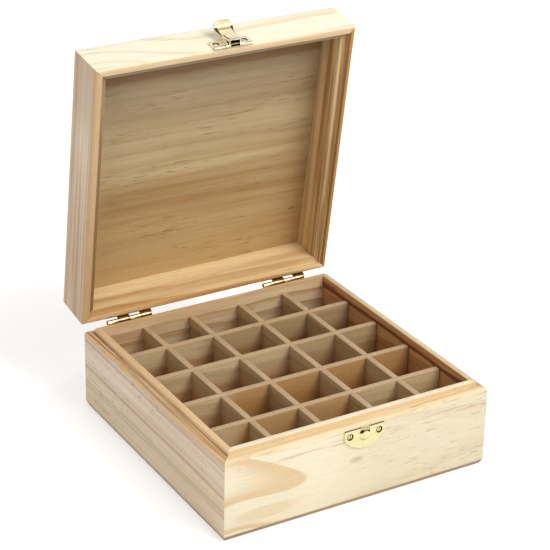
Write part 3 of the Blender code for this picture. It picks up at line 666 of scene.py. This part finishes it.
def brass(name, polished, tarnished, roughness, tarnish_share, dents=0.25, highlight_facing=None):
    """Pressed brass sheet under thin lacquer: it reflects its surroundings softly, and brown
    tarnish in small clouds, dents and short rubbed lines keep it from looking like a mirror. Given
    a facing direction, a painted highlight lies on the side that faces that way, and the rest takes
    the tarnished colour as painted shade."""
    material = bpy.data.materials.new(name)
    material.use_nodes = True
    tree = material.node_tree
    shader = tree.nodes["Principled BSDF"]
    shader.inputs["Metallic"].default_value = 1
    place = add_node(tree, "ShaderNodeTexCoord").outputs["Object"]
    clouds = add_node(tree, "ShaderNodeTexNoise", {"Vector": place, "Scale": 1 / (3.5 * MM), "Detail": 4,
                      "Roughness": 0.6})
    share = add_node(tree, "ShaderNodeMapRange", {"Value": clouds, "From Min": 0.42, "From Max": 0.72,
                     "To Max": tarnish_share})
    if highlight_facing:
        normal = add_node(tree, "ShaderNodeTexCoord").outputs["Normal"]
        facing = add_node(tree, "ShaderNodeVectorMath", {0: normal, 1: highlight_facing},
                          operation="DOT_PRODUCT").outputs["Value"]
        painted_flank_shade = add_node(tree, "ShaderNodeMapRange", {"Value": facing, "From Min": 0.93, "From Max": 0.78,
                         "To Max": 1})
        share = add_node(tree, "ShaderNodeMath", {0: share, 1: painted_flank_shade}, operation="MAXIMUM")
    tint = add_node(tree, "ShaderNodeMix", {0: share, 6: paint(polished), 7: paint(tarnished)},
                    data_type="RGBA")
    squeezed = add_node(tree, "ShaderNodeVectorMath", {0: place, 1: (0.12, 1, 1)}, operation="MULTIPLY")
    rubbing = add_node(tree, "ShaderNodeTexNoise", {"Vector": squeezed, "Scale": 1 / (0.35 * MM),
                       "Detail": 2})
    matt = add_node(tree, "ShaderNodeMapRange", {"Value": rubbing, "From Min": 0.3, "From Max": 0.7,
                    "To Min": roughness - 0.06, "To Max": roughness + 0.1})
    height = add_node(tree, "ShaderNodeMath", {0: clouds, 1: rubbing}, operation="ADD")
    bump = add_node(tree, "ShaderNodeBump", {"Height": height, "Strength": dents, "Distance": 0.05 * MM})
    tree.links.new(tint.outputs[2], shader.inputs["Base Color"])
    tree.links.new(matt.outputs[0], shader.inputs["Roughness"])
    tree.links.new(bump.outputs[0], shader.inputs["Normal"])
    return material


def start_rod(name, middle, turn, radius, length, steps=32):
    """A cylinder primitive about a middle, left in object mode."""
    deselect()
    bpy.ops.mesh.primitive_cylinder_add(vertices=steps, radius=radius, depth=length, location=middle,
                                        rotation=turn)
    rod = bpy.context.object
    rod.name = name
    bpy.ops.object.transform_apply(location=True, rotation=True, scale=True)
    return rod


def combine(piece, tool, operation):
    """Welds a tool to the piece, or cuts its shape out, and removes the tool."""
    pick_piece(piece)
    joint = piece.modifiers.new("joint", "BOOLEAN")
    joint.operation = operation
    joint.object = tool
    bpy.ops.object.modifier_apply(modifier=joint.name)
    bpy.data.objects.remove(tool)


def countersink(piece, at, out, wide, narrow, depth):
    """Cuts the dimple for a screw's head, whose wide end is at the given point of the face."""
    deselect()
    above = 0.3 * MM
    flare = wide + (wide - narrow) * above / depth
    bpy.ops.mesh.primitive_cone_add(vertices=32, radius1=narrow, radius2=flare, depth=depth + above)
    cone = bpy.context.object
    turn = Vector(out).to_track_quat("Z", "Y").to_matrix().to_4x4()
    middle = Vector(at) - Vector(out) * (depth - above) / 2
    cone.data.transform(Matrix.Translation(middle) @ turn)
    combine(piece, cone, "DIFFERENCE")


def placed_copy(source, name, place):
    """A copy with its own mesh, whose place is in the mesh."""
    copy = source.copy()
    copy.data = source.data.copy()
    copy.name = name
    copy.data.transform(place)
    bpy.context.collection.objects.link(copy)
    return copy


def hinge_leaf(side):
    """A leaf about the pin's middle: side is 1 for the lid's leaf and -1 for the base's."""
    notch = LEAF_NOTCH if side > 0 else BASE_NOTCH
    ends = sorted((side * notch, side * LEAF_REACH))
    leaf = start_block("leaf", (-HINGE_REACH, LEAF_BACK, ends[0]), (HINGE_REACH, LEAF_FACE, ends[1]))
    for edge in (-KNUCKLE, 0, KNUCKLE):
        slice_at((edge, 0, 0), (1, 0, 0))
    own = [KNUCKLE * (number - 1.5) for number in ((1, 3) if side > 0 else (0, 2))]
    pick_faces(leaf, lambda at, out: out.z * side < -0.9 and min(abs(at.x - x) for x in own) < NEAR)
    push_out((0, 0, -side * notch))
    pick_edges(leaf, lambda at: abs(at.x) > HINGE_REACH - NEAR and at.z * side > LEAF_REACH - NEAR)
    round_edges(LEAF_CORNER, 5)
    bpy.ops.object.mode_set(mode="OBJECT")
    for x in own:
        knuckle = start_rod("knuckle", (x, 0, 0), ALONG_X, KNUCKLE_RADIUS, KNUCKLE - KNUCKLE_GAP)
        combine(leaf, knuckle, "UNION")
    bore = start_rod("bore", (0, 0, 0), ALONG_X, PIN_RADIUS + BORE_PLAY, 40 * MM)
    combine(leaf, bore, "DIFFERENCE")
    for x in (-LEAF_SCREW_X, LEAF_SCREW_X):
        countersink(leaf, (x, LEAF_FACE, side * LEAF_SCREW_Z), (0, 1, 0), *LEAF_DIMPLE)
    ease_edges(leaf, THIN_EASE)
    # Painted shade: the knuckles' ends and the leaf's back; the countersinks get it with tarnish.
    shade_faces(leaf, lambda at, out: abs(out.x) > 0.9 and abs(at.x) < HINGE_REACH - NEAR
                and at.y > LEAF_FACE)
    shade_faces(leaf, lambda at, out: at.y < LEAF_BACK + LEAF_EDGE, 2)
    shade_faces(leaf, lambda at, out: abs(abs(at.x) - LEAF_SCREW_X) < LEAF_DIMPLE_REACH
                and abs(abs(at.z) - LEAF_SCREW_Z) < LEAF_DIMPLE_REACH and abs(out.y) < 0.9)
    return leaf


# Hinge brass has a painted highlight on the side of the knuckles that faces the front and up,
# and painted shade on the rest of them. The darkest brass is painted shade in creases, slots,
# gaps and under overhangs, with tarnish too in the countersinks. The brown leaf brass is
# painted shade on the leaves' backs, which lie on the wood.
hinge_brass = brass("hinge brass", "EACF9C", "6E4812", 0.3, 0.2, 0.04, HIGHLIGHT_FACING)
shade_and_tarnish_brass = brass("shade and tarnish brass", "4E3A14", "2A1C06", 0.45, 0.6)
leaf_shade_brass = brass("leaf shade brass", "8C5E24", "63400F", 0.4, 0.5, 0.1)
leaf_models = {"base": hinge_leaf(-1), "lid": hinge_leaf(1)}
pin_model = start_rod("pin", (0, 0, 0), ALONG_X, PIN_RADIUS, 2 * HINGE_REACH, 24)
ease_edges(pin_model, PIN_EASE, 3)
for model in (*leaf_models.values(), pin_model):
    for metal in (hinge_brass, shade_and_tarnish_brass, leaf_shade_brass):
        model.data.materials.append(metal)
axis_place = Matrix.Translation(LID_AXIS)
lid_turn = axis_place @ Matrix.Rotation(-LID_OPEN, 4, "X")
for hand, x in (("left", -HINGE_X), ("right", HINGE_X)):
    aside = Matrix.Translation((x, 0, 0))
    for part, body, place in (("base", "base", axis_place @ aside), ("lid", "lid", lid_turn @ aside)):
        leaf = placed_copy(leaf_models[part], "hinge_" + hand + "_leaf_on_" + part, place)
        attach(leaf, body)
        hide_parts(hand + "_hinge_" + part + "_leaf")
    pin = placed_copy(pin_model, "hinge_" + hand + "_rod", axis_place @ aside)
    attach(pin, "base")
    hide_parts(hand + "_hinge_pin")
for model in (*leaf_models.values(), pin_model):
    bpy.data.objects.remove(model)


# Hinge screws
# Small slotted brass wood screws, two through each leaf. The heads sit in dimples, and the slots
# stop wherever the last turn left them.

HEAD_RADIUS = 1.75 * MM
HEAD_HEIGHT = 0.75 * MM
SHANK_RADIUS = 0.9 * MM
SHANK_LENGTH = 6.5 * MM
SLOT_WIDTH = 0.55 * MM
SLOT_DEPTH = 0.45 * MM
HEAD_PROUD = 0.15 * MM


def slotted_screw():
    """A screw with its head's top at the origin, pointing down."""
    screw = start_rod("screw", (0, 0, -HEAD_HEIGHT / 2), (0, 0, 0), HEAD_RADIUS, HEAD_HEIGHT)
    bpy.ops.object.mode_set(mode="EDIT")
    pick_faces(screw, lambda at, out: out.z > 0.9)
    bpy.ops.transform.resize(value=(0.8, 0.8, 1), center_override=(0, 0, 0))
    pick_faces(screw, lambda at, out: out.z < -0.9)
    bpy.ops.mesh.inset(thickness=HEAD_RADIUS - SHANK_RADIUS)
    push_out((0, 0, -SHANK_LENGTH))
    push_out((0, 0, -SHANK_RADIUS))
    bpy.ops.transform.resize(value=(0.1, 0.1, 1), center_override=(0, 0, 0))
    bpy.ops.object.mode_set(mode="OBJECT")
    cutter = start_block("slot", (-2 * HEAD_RADIUS, -SLOT_WIDTH / 2, -SLOT_DEPTH),
                         (2 * HEAD_RADIUS, SLOT_WIDTH / 2, HEAD_HEIGHT))
    bpy.ops.object.mode_set(mode="OBJECT")
    combine(screw, cutter, "DIFFERENCE")
    ease_edges(screw, THIN_EASE)
    # Painted shade in the slot.
    shade_faces(screw, lambda at, out: abs(at.y) < SLOT_WIDTH / 2 and -SLOT_DEPTH - NEAR < at.z < -NEAR)
    return screw


def add_screw(node, body, metal, at, out, twist, lid_place=Matrix()):
    """A screw whose head's top is at a point: its slot is turned by twist degrees from upright."""
    turn = Vector(out).to_track_quat("Z", "Y").to_matrix().to_4x4()
    spin = Matrix.Rotation(math.radians(90 + twist), 4, "Z")
    screw = placed_copy(screw_model, node + "_turned", lid_place @ Matrix.Translation(at) @ turn @ spin)
    screw.data.materials.append(metal)
    screw.data.materials.append(shade_and_tarnish_brass)
    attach(screw, body)
    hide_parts(node)


screw_model = slotted_screw()
open_place = lid_turn @ axis_place.inverted()
screw_y = LID_AXIS[1] + LEAF_FACE + HEAD_PROUD
number = 0
for x in (-HINGE_X, HINGE_X):
    for side_step in (-LEAF_SCREW_X, LEAF_SCREW_X):
        number += 1
        for side, body, turned in ((-1, "base", Matrix()), (1, "lid", open_place)):
            at = (x + side_step, screw_y, RIM_Z + side * LEAF_SCREW_Z)
            node = "hinge_" + body + "_screw_" + str(number)
            add_screw(node, body, hinge_brass, at, (0, 1, 0), 37 * number + 20 * side, turned)


# Catch
# A stamped brass plate screwed to the front of the base. A tab is bent out of its top edge as a
# hook for the latch, and a round boss below guides the latch's edge.

LATCH_X = 2.5 * MM
PLATE_REACH = 15 * MM
FRONT = -HALF
PLATE_FACE = 1.1 * MM
CATCH_TOP = RIM_Z - 3.3 * MM
CATCH_SIDE = 7.6 * MM
CATCH_SHOULDER = 1.4 * MM
CATCH_BELLY = 7.0 * MM
CATCH_SCREW_X = 11 * MM
CATCH_SCREW_Z = CATCH_TOP - 4.4 * MM
CATCH_DIMPLE = (2.5 * MM, 1.9 * MM, 0.9 * MM)
CATCH_DIMPLE_REACH = 2.45 * MM
CATCH_HEAD_SINK = 0.3 * MM
SHEET_EASE = 0.15 * MM
HOOK_SIDE = 3.0 * MM
HOOK_LOW = CATCH_TOP - 0.5 * MM
HOOK_HIGH = CATCH_TOP + 1.1 * MM
HOOK_MIDDLE = CATCH_TOP + 0.2 * MM
HOOK_STEPS = ((1.0 * MM, 0.1 * MM), (0.9 * MM, 0.05 * MM), (0.6 * MM, 0.1 * MM))
HOOK_FOOT = FRONT - PLATE_FACE - 0.4 * MM
BOSS_Z = CATCH_TOP - 4.9 * MM
BOSS_RADIUS = 4.3 * MM
BOSS_HEIGHT = 1.5 * MM
BOSS_STEPS = ((0.94, 0.30), (0.84, 0.38), (0.68, 0.24), (0.42, 0.10))
BOSS_FLAT = CATCH_TOP - 2.1 * MM
BOSS_FOOT = FRONT - PLATE_FACE - 0.05 * MM

# Latch brass is a pale polished sheet and catch brass a yellower one. A greyer brass gives the
# hook its own colour and is painted shade on the boss's lower flank.
latch_brass = brass("latch brass", "F3E6C4", "BCA878", 0.34, 0.3, 0.15)
catch_brass = brass("catch brass", "FFF6C2", "DCCF88", 0.32, 0.3, 0.15)
grey_and_shade_brass = brass("grey and shade brass", "DCCB9C", "A89458", 0.35, 0.4, 0.15)
catch = start_block("catch", (LATCH_X - PLATE_REACH, FRONT - PLATE_FACE, CATCH_TOP - CATCH_SIDE),
                    (LATCH_X + PLATE_REACH, FRONT - NEAR, CATCH_TOP))
slice_at((LATCH_X - HOOK_SIDE, 0, 0), (1, 0, 0))
slice_at((LATCH_X + HOOK_SIDE, 0, 0), (1, 0, 0))
bpy.ops.object.mode_set(mode="OBJECT")
chord = PLATE_REACH - CATCH_SHOULDER
belly_radius = (chord ** 2 + CATCH_BELLY ** 2) / (2 * CATCH_BELLY)
belly_top = CATCH_TOP - CATCH_SIDE
belly_z = belly_top - CATCH_BELLY + belly_radius
belly_y = FRONT - (PLATE_FACE + NEAR) / 2
belly = start_rod("belly", (LATCH_X, belly_y, belly_z), ALONG_Y, belly_radius, PLATE_FACE - NEAR, 128)
bpy.ops.object.mode_set(mode="EDIT")
slice_at((0, 0, belly_top + 0.3 * MM), (0, 0, 1), clear_outer=True, use_fill=True)
bpy.ops.object.mode_set(mode="OBJECT")
combine(catch, belly, "UNION")
boss = start_rod("boss", (LATCH_X, FRONT - PLATE_FACE, BOSS_Z), ALONG_Y, BOSS_RADIUS, 0.1 * MM, 48)
bpy.ops.object.mode_set(mode="EDIT")
for share, height in BOSS_STEPS:
    pick_faces(boss, lambda at, out: out.y < -0.9)
    push_out((0, -height * BOSS_HEIGHT, 0))
    shape = bmesh.from_edit_mesh(boss.data)
    now = max(edge.verts[0].co.x - LATCH_X for edge in shape.edges if edge.select)
    factor = share * BOSS_RADIUS / now
    bpy.ops.transform.resize(value=(factor, 1, factor), center_override=(LATCH_X, 0, BOSS_Z))
slice_at((0, 0, BOSS_FLAT), (0, 0, 1), clear_outer=True, use_fill=True)
bpy.ops.object.mode_set(mode="OBJECT")
combine(catch, boss, "UNION")
hook = start_block("hook", (LATCH_X - HOOK_SIDE, FRONT - PLATE_FACE, HOOK_LOW),
                   (LATCH_X + HOOK_SIDE, FRONT - 0.2 * MM, HOOK_HIGH))
pick_faces(hook, lambda at, out: out.y < -0.9)
for out_step, fall in HOOK_STEPS:
    push_out((0, -out_step, -fall))
    bpy.ops.transform.resize(value=(0.9, 1, 0.92), center_override=(LATCH_X, 0, HOOK_MIDDLE))
bpy.ops.object.mode_set(mode="OBJECT")
combine(catch, hook, "UNION")
for x in (LATCH_X - CATCH_SCREW_X, LATCH_X + CATCH_SCREW_X):
    countersink(catch, (x, FRONT - PLATE_FACE, CATCH_SCREW_Z), (0, -1, 0), *CATCH_DIMPLE)
ease_edges(catch, SHEET_EASE)


def in_dimple(at, out):
    from_screw = min(abs(at.x - LATCH_X - x) for x in (-CATCH_SCREW_X, CATCH_SCREW_X))
    return max(from_screw, abs(at.z - CATCH_SCREW_Z)) < CATCH_DIMPLE_REACH and abs(out.y) < 0.97


def on_top_edge(at, out):
    return out.z > 0.5 and at.z > CATCH_TOP - 0.2 * MM and abs(at.x - LATCH_X) > HOOK_SIDE + NEAR


def below_hook(at, out):
    between = BOSS_FLAT - 1.3 * MM < at.z < CATCH_TOP - 1.5 * MM
    return between and out.z > -0.1 and abs(out.y) < 0.97 and at.y < BOSS_FOOT


# Painted shade darkens the top edge, the boss's cut-off top and what the hook overhangs, and the
# countersinks, where tarnish lies too.
shade_faces(catch, in_dimple)
shade_faces(catch, on_top_edge)
shade_faces(catch, lambda at, out: out.z > 0.8 and abs(at.z - BOSS_FLAT) < 0.1 * MM)
# The hook takes the greyer brass, and the boss's lower flank takes it as painted shade.
shade_faces(catch, lambda at, out: at.y < HOOK_FOOT and at.z > CATCH_TOP - 1.2 * MM, 2)
shade_faces(catch, lambda at, out: out.z < -0.3 and out.x < 0.4 and abs(out.y) < 0.93
            and at.y < BOSS_FOOT and at.z < BOSS_Z, 2)
shade_faces(catch, below_hook)
shade_faces(catch, lambda at, out: out.z < -0.5 and at.z > CATCH_TOP - 1.4 * MM)
catch.name = "catch_with_hook"
for metal in (catch_brass, shade_and_tarnish_brass, grey_and_shade_brass):
    catch.data.materials.append(metal)
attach(catch, "base")
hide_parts("catch_plate")
for number, x in ((1, LATCH_X - CATCH_SCREW_X), (2, LATCH_X + CATCH_SCREW_X)):
    at = (x, FRONT - PLATE_FACE + CATCH_HEAD_SINK, CATCH_SCREW_Z)
    add_screw("catch_screw_" + str(number), "base", catch_brass, at, (0, -1, 0), 14 - 22 * number)


# Latch plate
# A stamped plate on the lid's front with a thick hem along the rim, which is rolled round the
# flap's pin. It is cut away where the flap's cheeks turn, and painted shade darkens the groove
# above the hem.

PLATE_LOW = RIM_Z + 0.4 * MM
PLATE_HIGH = PLATE_LOW + 10.4 * MM
PLATE_CORNER = 0.8 * MM
PIN_Y = FRONT - 1.7 * MM
PIN_Z = RIM_Z - 0.2 * MM
EYE_RADIUS = 1.2 * MM
CHEEK_INSIDE = 3.6 * MM
CHEEK_OUTSIDE = 4.5 * MM
EAR_INSIDE = 4.8 * MM
EAR_OUTSIDE = 7.0 * MM
HEM_Y = FRONT - 1.15 * MM
HEM_Z = RIM_Z + 0.15 * MM
HEM_RADIUS = 0.85 * MM
GROOVE = 1.3 * MM
LATCH_SCREW_X = 10.8 * MM
LATCH_SCREW_Z = PLATE_LOW + 5.8 * MM
LATCH_DIMPLE = (2.4 * MM, 1.9 * MM, 0.9 * MM)
LATCH_DIMPLE_REACH = 2.35 * MM
LATCH_HEAD_SINK = 0.25 * MM
CHEEK_PLAY = 0.3 * MM
HEM_MOUTH = 3 * MM

plate = start_block("plate", (LATCH_X - PLATE_REACH, FRONT - PLATE_FACE, PLATE_LOW),
                    (LATCH_X + PLATE_REACH, FRONT - NEAR, PLATE_HIGH))
pick_edges(plate, lambda at: abs(at.x - LATCH_X) > PLATE_REACH - NEAR and at.z > PLATE_HIGH - NEAR)
round_edges(PLATE_CORNER, 4)
groove_z = HEM_Z + HEM_RADIUS
slice_at((0, 0, groove_z), (0, 0, 1))
slice_at((0, 0, groove_z + GROOVE), (0, 0, 1))
bpy.ops.object.mode_set(mode="OBJECT")
hem = start_rod("hem", (LATCH_X, HEM_Y, HEM_Z), ALONG_X, HEM_RADIUS, 2 * PLATE_REACH, 24)
combine(plate, hem, "UNION")
for sign in (-1, 1):
    ear_x = LATCH_X + sign * (EAR_INSIDE + EAR_OUTSIDE) / 2
    ear = start_rod("ear", (ear_x, PIN_Y, PIN_Z), ALONG_X, EYE_RADIUS, EAR_OUTSIDE - EAR_INSIDE, 24)
    combine(plate, ear, "UNION")
    gap = start_rod("gap", (LATCH_X + sign * (CHEEK_INSIDE + CHEEK_OUTSIDE) / 2, PIN_Y, PIN_Z), ALONG_X,
                    EYE_RADIUS + CHEEK_PLAY, CHEEK_OUTSIDE - CHEEK_INSIDE + 0.5 * MM, 24)
    combine(plate, gap, "DIFFERENCE")
for x in (LATCH_X - LATCH_SCREW_X, LATCH_X + LATCH_SCREW_X):
    countersink(plate, (x, FRONT - PLATE_FACE, LATCH_SCREW_Z), (0, -1, 0), *LATCH_DIMPLE)
ease_edges(plate, THIN_EASE)
# Painted shade: the groove, the top edge, the ends of the ears and the hem between the cheeks. The
# countersinks get it with tarnish.
shade_faces(plate, lambda at, out: out.y < -0.9 and groove_z < at.z < groove_z + GROOVE)
shade_faces(plate, lambda at, out: abs(out.y) < 0.97 and abs(at.z - LATCH_SCREW_Z) < LATCH_DIMPLE_REACH
            and abs(abs(at.x - LATCH_X) - LATCH_SCREW_X) < LATCH_DIMPLE_REACH)
shade_faces(plate, lambda at, out: out.z > 0.9 and at.z > PLATE_HIGH - 0.2 * MM)
shade_faces(plate, lambda at, out: abs(out.x) > 0.8 and abs(at.x - LATCH_X) < EAR_OUTSIDE + NEAR)
shade_faces(plate, lambda at, out: abs(at.x - LATCH_X) < CHEEK_INSIDE and at.y < HEM_Y + 0.1 * MM
            and at.z < PLATE_LOW + HEM_MOUTH, 2)
# Crevice brass is the almost black inside of the roll, which no light reaches.
crevice_brass = brass("crevice brass", "2C200E", "140D04", 0.7, 0.5)
for metal in (latch_brass, shade_and_tarnish_brass, crevice_brass):
    plate.data.materials.append(metal)
open_lid(plate)
plate.name = "latch_plate_with_hem"
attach(plate, "lid")
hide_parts("latch_plate")
for number, x in ((1, LATCH_X - LATCH_SCREW_X), (2, LATCH_X + LATCH_SCREW_X)):
    at = (x, FRONT - PLATE_FACE + LATCH_HEAD_SINK, LATCH_SCREW_Z)
    add_screw("latch_screw_" + str(number), "lid", latch_brass, at, (0, -1, 0), 60 * number, open_place)
bpy.data.objects.remove(screw_model)


# Latch flap
# A tongue of brass sheet that turns on a wire pin. Its sides are folded into a box at the root with
# a web across it, which snaps under the hook, and its rounded tip is curled up for a fingertip.
# Painted shade darkens the inside of the box, the folds and the tip's edges, and the bend before
# the tip is painted a darker, duller brass about its highlight.

FLAP_FRONT = RIM_Z - 0.5 * MM
FLAP_OUT = 6.0 * MM
FLAP_SHEET = 0.8 * MM
# Each row is a height above the flap's foot, a distance out from the wood and a width, all in mm.
FLAP_PROFILE = (
    (0.0, 6.0, 9.0), (3.4, 6.0, 9.2), (4.6, 5.6, 11.6), (6.2, 5.15, 12.6), (8.4, 5.1, 11.6),
    (11.0, 5.5, 10.9), (14.0, 5.95, 12.2), (15.8, 6.3, 14.0), (17.8, 7.7, 14.6), (19.1, 9.4, 13.9),
    (19.4, 10.8, 11.6), (19.2, 11.8, 7.4),
)
BOX_END = 7.2 * MM
CHEEK_ROOT = 1.4 * MM
CHEEK_TAPER = 2.8 * MM
CHEEK_LEAN = 0.8 * MM
BORE_RADIUS = 0.55 * MM
WIRE_RADIUS = 0.5 * MM
WEB_SIDE = CHEEK_INSIDE + 0.2 * MM
WEB_OUT = 2.9 * MM
WEB_BACK = 2.5 * MM
WEB_LOW = RIM_Z + 0.8 * MM
WEB_HIGH = FLAP_FRONT + BOX_END - 0.3 * MM
WEB_LEAN = 2.4 * MM
FLAP_EDGE = 5.1 * MM
CREASE_X = CHEEK_OUTSIDE - 1.0 * MM
CREASE_LOW = FLAP_FRONT + 0.9 * MM
CREASE_HIGH = FLAP_FRONT + 1.5 * MM
CREASE_END = FLAP_FRONT + 9.6 * MM
CHEEK_SHADE = FRONT - 4.4 * MM
FLANK_LOW, FLANK_HIGH = RIM_Z + 9 * MM, RIM_Z + 16.6 * MM
BEND_LOW, BEND_HIGH = RIM_Z + 14.5 * MM, RIM_Z + 18 * MM
TIP_LOW, TIP_HIGH = RIM_Z + 7.5 * MM, RIM_Z + 18.5 * MM

first, second = FLAP_PROFILE[:2]
deselect()
bpy.ops.mesh.primitive_plane_add(size=MM, rotation=ALONG_Y,
                                 location=(LATCH_X, FRONT - FLAP_OUT, FLAP_FRONT + second[0] / 2 * MM))
flap = bpy.context.object
flap.scale = (first[2], second[0], 1)
bpy.ops.object.transform_apply(location=True, rotation=True, scale=True)
bpy.ops.object.mode_set(mode="EDIT")
for before, after in zip(FLAP_PROFILE[1:], FLAP_PROFILE[2:]):
    end = Vector((LATCH_X, FRONT - before[1] * MM, FLAP_FRONT + before[0] * MM))
    pick_edges(flap, lambda at: abs(at.y - end.y) < NEAR and abs(at.z - end.z) < NEAR)
    push_out((0, (before[1] - after[1]) * MM, (after[0] - before[0]) * MM))
    bpy.ops.transform.resize(value=(after[2] / before[2], 1, 1), center_override=(LATCH_X, 0, 0))
bpy.ops.object.mode_set(mode="OBJECT")
smooth = flap.modifiers.new("smooth", "SUBSURF")
smooth.levels = smooth.render_levels = 2
smooth.boundary_smooth = "PRESERVE_CORNERS"
bpy.ops.object.modifier_apply(modifier=smooth.name)
thicken = flap.modifiers.new("thicken", "SOLIDIFY")
thicken.thickness = FLAP_SHEET
thicken.offset = 0
bpy.ops.object.modifier_apply(modifier=thicken.name)
for sign in (-1, 1):
    x0, x1 = sorted((LATCH_X + sign * CHEEK_INSIDE, LATCH_X + sign * CHEEK_OUTSIDE))
    cheek = start_block("cheek", (x0, FRONT - FLAP_OUT, FLAP_FRONT),
                        (x1, PIN_Y - EYE_RADIUS / 2, FLAP_FRONT + CHEEK_ROOT))
    pick_faces(cheek, lambda at, out: out.z > 0.9)
    push_out((0, 0, BOX_END - CHEEK_ROOT))
    pick_edges(cheek, lambda at: at.z > FLAP_FRONT + BOX_END - NEAR and at.y > FRONT - FLAP_OUT + NEAR)
    bpy.ops.transform.translate(value=(0, -CHEEK_TAPER, 0))
    pick_edges(cheek, lambda at: at.z > FLAP_FRONT + BOX_END - NEAR and at.y < FRONT - FLAP_OUT + NEAR)
    bpy.ops.transform.translate(value=(0, CHEEK_LEAN, 0))
    bpy.ops.object.mode_set(mode="OBJECT")
    combine(flap, cheek, "UNION")
    eye = start_rod("eye", ((x0 + x1) / 2, PIN_Y, PIN_Z), ALONG_X, EYE_RADIUS, x1 - x0, 24)
    combine(flap, eye, "UNION")
bore = start_rod("bore", (LATCH_X, PIN_Y, PIN_Z), ALONG_X, BORE_RADIUS, 12 * MM, 24)
combine(flap, bore, "DIFFERENCE")
ease_edges(flap, EASE)
web = start_block("web", (LATCH_X - WEB_SIDE, FRONT - WEB_OUT, WEB_LOW),
                  (LATCH_X + WEB_SIDE, FRONT - WEB_BACK, WEB_HIGH))
pick_faces(web, lambda at, out: out.z > 0.9)
bpy.ops.transform.translate(value=(0, -WEB_LEAN, 0))
bpy.ops.object.mode_set(mode="OBJECT")
combine(flap, web, "UNION")
pick_piece(flap)
bpy.ops.object.mode_set(mode="EDIT")
for x in (-FLAP_EDGE, -CHEEK_OUTSIDE, -CREASE_X, CREASE_X, FLAP_EDGE):
    slice_at((LATCH_X + x, 0, 0), (1, 0, 0))
for z in (CREASE_LOW, CREASE_HIGH, CREASE_END):
    slice_at((0, 0, z), (0, 0, 1))
slice_at((0, CHEEK_SHADE, 0), (0, 1, 0))
bpy.ops.object.mode_set(mode="OBJECT")


def in_box(at, out):
    beside = abs(at.x - LATCH_X) < CHEEK_INSIDE + NEAR
    below = at.y > FRONT - FLAP_OUT + 0.3 * MM and (out.y > -0.5 or at.y > FRONT - 4.5 * MM)
    return beside and below and FLAP_FRONT + NEAR < at.z < FLAP_FRONT + BOX_END


def in_left_crease(at, out):
    beside = -CHEEK_OUTSIDE - EASE < at.x - LATCH_X < -CREASE_X
    return beside and out.y < -0.7 and CREASE_LOW < at.z < CREASE_END


def in_low_crease(at, out):
    return out.y < -0.7 and abs(at.x - LATCH_X) < CREASE_X and CREASE_LOW < at.z < CREASE_HIGH


def beside_bend(at, out):
    return abs(at.x - LATCH_X) > FLAP_EDGE and FLANK_LOW < at.z < FLANK_HIGH


# Painted shade: the inside of the box, the creases, the lower left cheek, the tip's edges, the flanks beside
# the bend and the ridges along the box. Only the left crease is dark, as the light comes from the right.
shade_faces(flap, in_box)
shade_faces(flap, in_left_crease)
shade_faces(flap, in_low_crease)
shade_faces(flap, lambda at, out: out.x < -0.7 and at.y > CHEEK_SHADE and at.z < FLAP_FRONT + BOX_END)
shade_faces(flap, lambda at, out: abs(out.x) > 0.3 and TIP_LOW < at.z < TIP_HIGH)
shade_faces(flap, lambda at, out: out.y < 0 and BEND_LOW < at.z < BEND_HIGH, 2)
shade_faces(flap, beside_bend)
shade_faces(flap, lambda at, out: 0.3 < abs(out.x) < 0.97 and out.y < -0.2 and at.z < FLAP_FRONT + BOX_END)
# Darker brass on the bend before the tip is painted shade that keeps its highlight narrow.
bend_shade_brass = brass("bend shade brass", "B3A682", "8A7C56", 0.38, 0.3, 0.15)
for metal in (latch_brass, shade_and_tarnish_brass, bend_shade_brass):
    flap.data.materials.append(metal)
open_lid(flap)
flap.name = "latch_tongue"
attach(flap, "flap")
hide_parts("latch_flap")
wire = start_rod("latch_wire", (LATCH_X, PIN_Y, PIN_Z), ALONG_X, WIRE_RADIUS, 2 * EAR_OUTSIDE, 24)
bpy.ops.object.mode_set(mode="EDIT")
for x in (-CHEEK_INSIDE, CHEEK_INSIDE):
    slice_at((LATCH_X + x, 0, 0), (1, 0, 0))
ease_edges(wire, SHEET_EASE)
shade_faces(wire, lambda at, out: abs(at.x - LATCH_X) < CHEEK_INSIDE)
wire.data.materials.append(latch_brass)
wire.data.materials.append(crevice_brass)
open_lid(wire)
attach(wire, "lid")
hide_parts("latch_pin")
